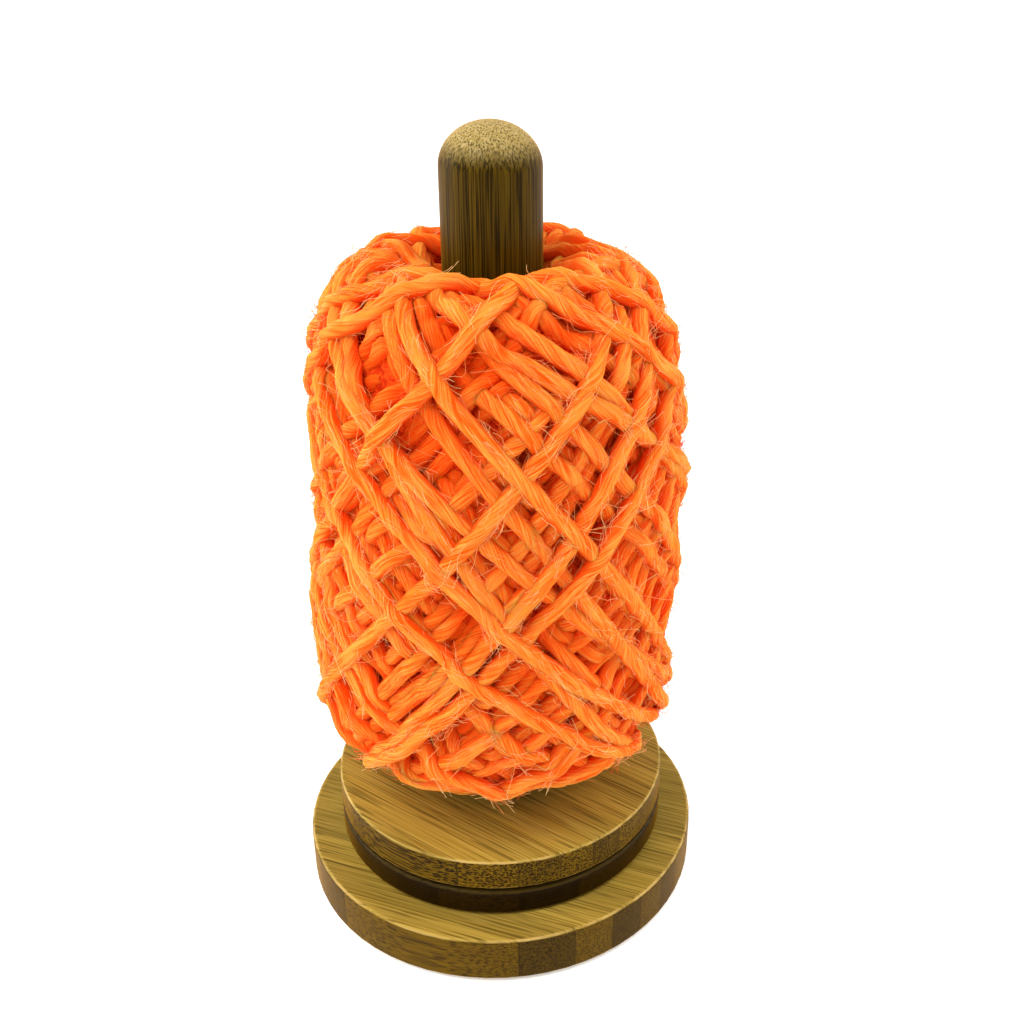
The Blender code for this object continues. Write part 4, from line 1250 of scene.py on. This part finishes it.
# %% [markdown]
# ## Loose fibres
#
# Jute never lies quite flat. Short ends stand off every strand as a pale fuzz, and a few long fibres
# fly out of the ball or bridge the gaps. Each is a thin tapered hair. Geometry Nodes scatter one
# straight hair over the strands that lie near the outside, turn each along its strand with a lift
# off the surface, and then bend them all with noise that grows towards the tips. A hair has three
# sides and only a few steps along it, because thousands of them show.

# %% Geometry Nodes: where a loose fibre grows and where it aims
LIFT_RANGE = (0.2, 1.8)
SIGN_SEED = 11
STRAY_SEED = 12
LIFT_SEED = 13
LENGTH_SEED = 14


def growing_places(tree, given):
    """Scatter points on the strands near the outside, clear of the dowel and of the platter."""
    spot = add(tree, "ShaderNodeSeparateXYZ", (add(tree, "GeometryNodeInputPosition"),)).outputs
    squares = [add(tree, "ShaderNodeMath", (spot[side], 2.0), operation="POWER") for side in ("X", "Y")]
    squared = add(tree, "ShaderNodeMath", squares)
    from_axis = add(tree, "ShaderNodeMath", (squared,), operation="SQRT")
    depth = add(tree, "GeometryNodeInputNamedAttribute", {"Name": "depth"}, data_type="FLOAT")
    near = add(tree, "ShaderNodeMath", (depth, given["Reach"]), operation="LESS_THAN")
    clear = add(tree, "ShaderNodeMath", (from_axis, given["Clear Radius"]), operation="GREATER_THAN")
    high = add(tree, "ShaderNodeMath", (spot["Z"], given["Clear Height"]), operation="GREATER_THAN")
    free = add(tree, "ShaderNodeMath", (clear, high), operation="MULTIPLY")
    points = add(tree, "GeometryNodeDistributePointsOnFaces", {
        "Mesh": given["Geometry"], "Density": given["Density"], "Seed": given["Seed"],
        "Selection": add(tree, "ShaderNodeMath", (near, free), operation="MULTIPLY"),
    }).outputs
    return add(tree, "GeometryNodeStoreNamedAttribute", {
        "Geometry": points["Points"], "Name": "out", "Value": points["Normal"],
    }, **VECTOR_FIELD)


def aims(tree, given):
    """Aim each fibre along its strand, either way, with some lift off it and some of it astray."""
    way = add(tree, "FunctionNodeRandomValue", {2: -1.0, 3: 1.0, "Seed": SIGN_SEED}, data_type="FLOAT")
    way = add(tree, "ShaderNodeMath", (way,), operation="SIGN")
    stray = add(tree, "FunctionNodeRandomValue", {0: (-1.0,) * 3, 1: (1.0,) * 3, "Seed": STRAY_SEED},
                data_type="FLOAT_VECTOR")
    low, high = LIFT_RANGE
    lift = add(tree, "FunctionNodeRandomValue", {2: low, 3: high, "Seed": LIFT_SEED}, data_type="FLOAT")
    lift = add(tree, "ShaderNodeMath", (given["Lift"], lift), operation="MULTIPLY")
    runs, out = (add(tree, "GeometryNodeInputNamedAttribute", {"Name": name}, data_type="FLOAT_VECTOR")
                 for name in ("runs", "out"))
    terms = [add(tree, "ShaderNodeVectorMath", {0: vector, "Scale": scale}, operation="SCALE")
             for vector, scale in ((runs, way), (out, lift), (stray, given["Wander"]))]
    aim = add(tree, "ShaderNodeVectorMath", terms[:2])
    aim = add(tree, "ShaderNodeVectorMath", (aim, terms[2]))
    return add(tree, "FunctionNodeAlignRotationToVector", {"Vector": aim}, axis="Z")


# %% Geometry Nodes: the loose fibres
HAIR_SIDES = 3
HAIR_RADIUS = 0.000055
CLEAR_RADIUS = 0.027
TIP_THICKNESS = 0.35
BENDS_EACH_METRE = 110.0


def straight_hair(tree, given):
    """Give one straight hair of length 1, which remembers how near a point is to its tip."""
    hair = add(tree, "GeometryNodeCurvePrimitiveLine", {"Start": (0.0, 0.0, 0.0), "End": (0.0, 0.0, 1.0)})
    count = add(tree, "ShaderNodeMath", (given["Steps"], 1.0))
    hair = add(tree, "GeometryNodeResampleCurve", {"Curve": hair, "Count": count})
    return add(tree, "GeometryNodeStoreNamedAttribute", {
        "Geometry": hair, "Name": "tip", "Value": add(tree, "GeometryNodeSplineParameter"),
    }, **FLOAT_FIELD)


def bent_hairs(tree, given, hairs):
    """Bend hairs with noise that grows towards their tips, and thin them out there.

    The noise lies between 0 and 1, so a half is taken off and the rest is doubled.
    """
    noise = add(tree, "ShaderNodeTexNoise", {
        "Vector": add(tree, "GeometryNodeInputPosition"), "Scale": BENDS_EACH_METRE, "Detail": 1.0,
    }).outputs["Color"]
    centred = add(tree, "ShaderNodeVectorMath", (noise, (0.5, 0.5, 0.5)), operation="SUBTRACT")
    tip = add(tree, "GeometryNodeInputNamedAttribute", {"Name": "tip"}, data_type="FLOAT")
    bend = add(tree, "ShaderNodeMath", (tip, 2.0), operation="MULTIPLY")
    bend = add(tree, "ShaderNodeMath", (bend, given["Curl"]), operation="MULTIPLY")
    offset = add(tree, "ShaderNodeVectorMath", {0: centred, "Scale": bend}, operation="SCALE")
    bent = add(tree, "GeometryNodeSetPosition", {"Geometry": hairs, "Offset": offset})
    taper = add(tree, "ShaderNodeMapRange", (tip, 0.3, 1.0, 1.0, TIP_THICKNESS), **SMOOTH)
    return add(tree, "GeometryNodeSetCurveRadius", {"Curve": bent, "Radius": taper})


def hair_tree(material):
    """Make the tree that grows loose fibres on the strands."""
    tree, given = new_tree("loose_fibres", {
        "Density": 100.0, "Reach": FULL_SHADE_DEPTH, "Shortest": 0.003, "Longest": 0.008, "Lift": 0.4,
        "Wander": 0.5, "Curl": 0.002, "Steps": 4, "Hair Radius": HAIR_RADIUS, "Clear Radius": CLEAR_RADIUS,
        "Clear Height": BALL_FOOT, "Seed": 1,
    })
    lengths = {2: given["Shortest"], 3: given["Longest"], "Seed": LENGTH_SEED}
    placed = add(tree, "GeometryNodeInstanceOnPoints", {
        "Points": growing_places(tree, given), "Instance": straight_hair(tree, given),
        "Rotation": aims(tree, given),
        "Scale": add(tree, "FunctionNodeRandomValue", lengths, data_type="FLOAT"),
    })
    hairs = add(tree, "GeometryNodeRealizeInstances", (placed,))
    outline = add(tree, "GeometryNodeCurvePrimitiveCircle", {
        "Resolution": HAIR_SIDES, "Radius": given["Hair Radius"],
    })
    return close_tree(tree, bent_hairs(tree, given, hairs), outline, material)


# %% The fuzz and the long fibres
HAIR_SHADE_FROM = 0.0030
HAIR_SHADE_TO = 0.0055
FUZZ_FOOT_GAP = 0.018
FLY_AWAY_FOOT_GAP = 0.038
FUZZ = {
    "Density": 200000.0, "Reach": 0.0070, "Shortest": 0.0025, "Longest": 0.0070, "Lift": 0.08,
    "Wander": 0.35, "Curl": 0.0040, "Steps": 4, "Clear Height": BALL_FOOT + FUZZ_FOOT_GAP,
}
FLY_AWAY = {
    "Density": 14000.0, "Reach": 0.0055, "Shortest": 0.006, "Longest": 0.013, "Lift": 0.14,
    "Wander": 0.8, "Curl": 0.0120, "Steps": 8, "Clear Height": BALL_FOOT + FLY_AWAY_FOOT_GAP,
    "Clear Radius": 0.036,
}
FUZZ_SEED = 20
FLY_AWAY_SEED = 40


def hair_material():
    """Make the pale loose fibre. Between the strands it is painted a darker, redder orange, as painted shade.
    """
    material, tree = new_material("loose_jute_fibre")
    tip = add(tree, "ShaderNodeAttribute", attribute_name="tip").outputs["Fac"]
    depth = add(tree, "ShaderNodeAttribute", attribute_name="depth").outputs["Fac"]
    paler = add(tree, "ShaderNodeMapRange", (tip, 0.0, 1.0), **SMOOTH)
    # Painted shade: fibres that grow from deeper yarn are painted a darker, redder orange.
    hair_gap_shade = add(tree, "ShaderNodeMapRange", (depth, HAIR_SHADE_FROM, HAIR_SHADE_TO), **SMOOTH)
    tint = layered(tree, colour("FFA048"), (paler, colour("FFCE8C")), (hair_gap_shade, colour("FF5A1A")))
    return finished(material, {"Base Color": tint, "Roughness": 0.6, "Specular IOR Level": 0.05})


grow_hair = hair_tree(hair_material())
for index, strand in enumerate(strand_pieces):
    for kind, sizes, seed in (("fuzz", FUZZ, FUZZ_SEED), ("fly_away", FLY_AWAY, FLY_AWAY_SEED)):
        piece = bpy.data.objects.new(f"jute_{kind}_{index + 1}", strand.data.copy())
        grown(piece, grow_hair, {**sizes, "Seed": seed + index})
        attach(piece, "yarn_ball")
        print(piece.name, "faces:", len(piece.data.polygons))

# %% [markdown]
# ## The small parts
#
# The metal and rubber parts are hidden inside the holder or under it, but they show when it is taken
# apart or turned over. Their measured shapes are right, so each keeps its shape and gets the finish
# of its metal or plastic: ground bearing steel with fine rings round the axis, zinc plate with a
# mottled shine, turned brass, moulded nylon, and matt rubber with a fine grain.

# %% Finishes of the small parts
RING_PITCH = 0.25
GRAIN_PITCH = 0.6


def turned_rings(tree, place):
    """Give coordinates of fine rings round the Z axis, as a lathe or a grinder leaves them."""
    parts = add(tree, "ShaderNodeSeparateXYZ", (place,)).outputs
    squares = [add(tree, "ShaderNodeMath", (parts[side], 2.0), operation="POWER") for side in ("X", "Y")]
    squared = add(tree, "ShaderNodeMath", squares)
    radius = add(tree, "ShaderNodeMath", (squared,), operation="SQRT")
    return add(tree, "ShaderNodeCombineXYZ", (radius, parts["Z"], 0.0)), RING_PITCH


def even_grain(tree, place):
    """Give coordinates of an even grain, as plating or a moulded skin has."""
    return place, GRAIN_PITCH


def small_part_finish(name, grain, tones, rough, metallic, relief):
    """Make the finish of a small part: two close tones, a range of roughness and a fine relief in metres."""
    material, tree = new_material(name)
    space, pitch = grain(tree, add(tree, "ShaderNodeTexCoord").outputs["Object"])
    marks = add(tree, "ShaderNodeTexNoise", {"Vector": space, "Scale": MILLIMETRES / pitch, "Detail": 2.0})
    share = add(tree, "ShaderNodeMapRange", (marks, 0.3, 0.7), **SMOOTH)
    darker, paler = (colour(code) for code in tones)
    return finished(material, {
        "Base Color": layered(tree, darker, (share, paler)), "Metallic": metallic,
        "Roughness": add(tree, "ShaderNodeMapRange", (marks, 0.3, 0.7, *rough), **SMOOTH),
        "Normal": add(tree, "ShaderNodeBump", {"Height": marks, "Strength": 0.5, "Distance": relief}),
    })


FINISHES = {
    "pad_rubber": small_part_finish(
        "matt_nonslip_rubber", even_grain, ("1C1C1E", "2A2A2C"), (0.80, 0.92), 0.0, 0.00008),
    "bearing_steel": small_part_finish(
        "ground_bearing_steel", turned_rings, ("B8B9BC", "D0D1D3"), (0.22, 0.34), 1.0, 0.000006),
    "bolt_steel": small_part_finish(
        "zinc_plated_steel", even_grain, ("BABDC2", "D2D3D0"), (0.30, 0.46), 1.0, 0.00001),
    "brass": small_part_finish(
        "turned_brass", turned_rings, ("CDB67C", "DEC992"), (0.25, 0.38), 1.0, 0.00001),
    "nylon": small_part_finish(
        "moulded_natural_nylon", even_grain, ("D8D6C8", "E4E2D6"), (0.45, 0.58), 0.0, 0.00003),
}
for node_name, piece in frame["nodes"].items():
    finish = FINISHES.get(piece.data.materials[0].name)
    if finish:
        piece.material_slots[0].material = finish
        print(node_name, "is", finish.name)
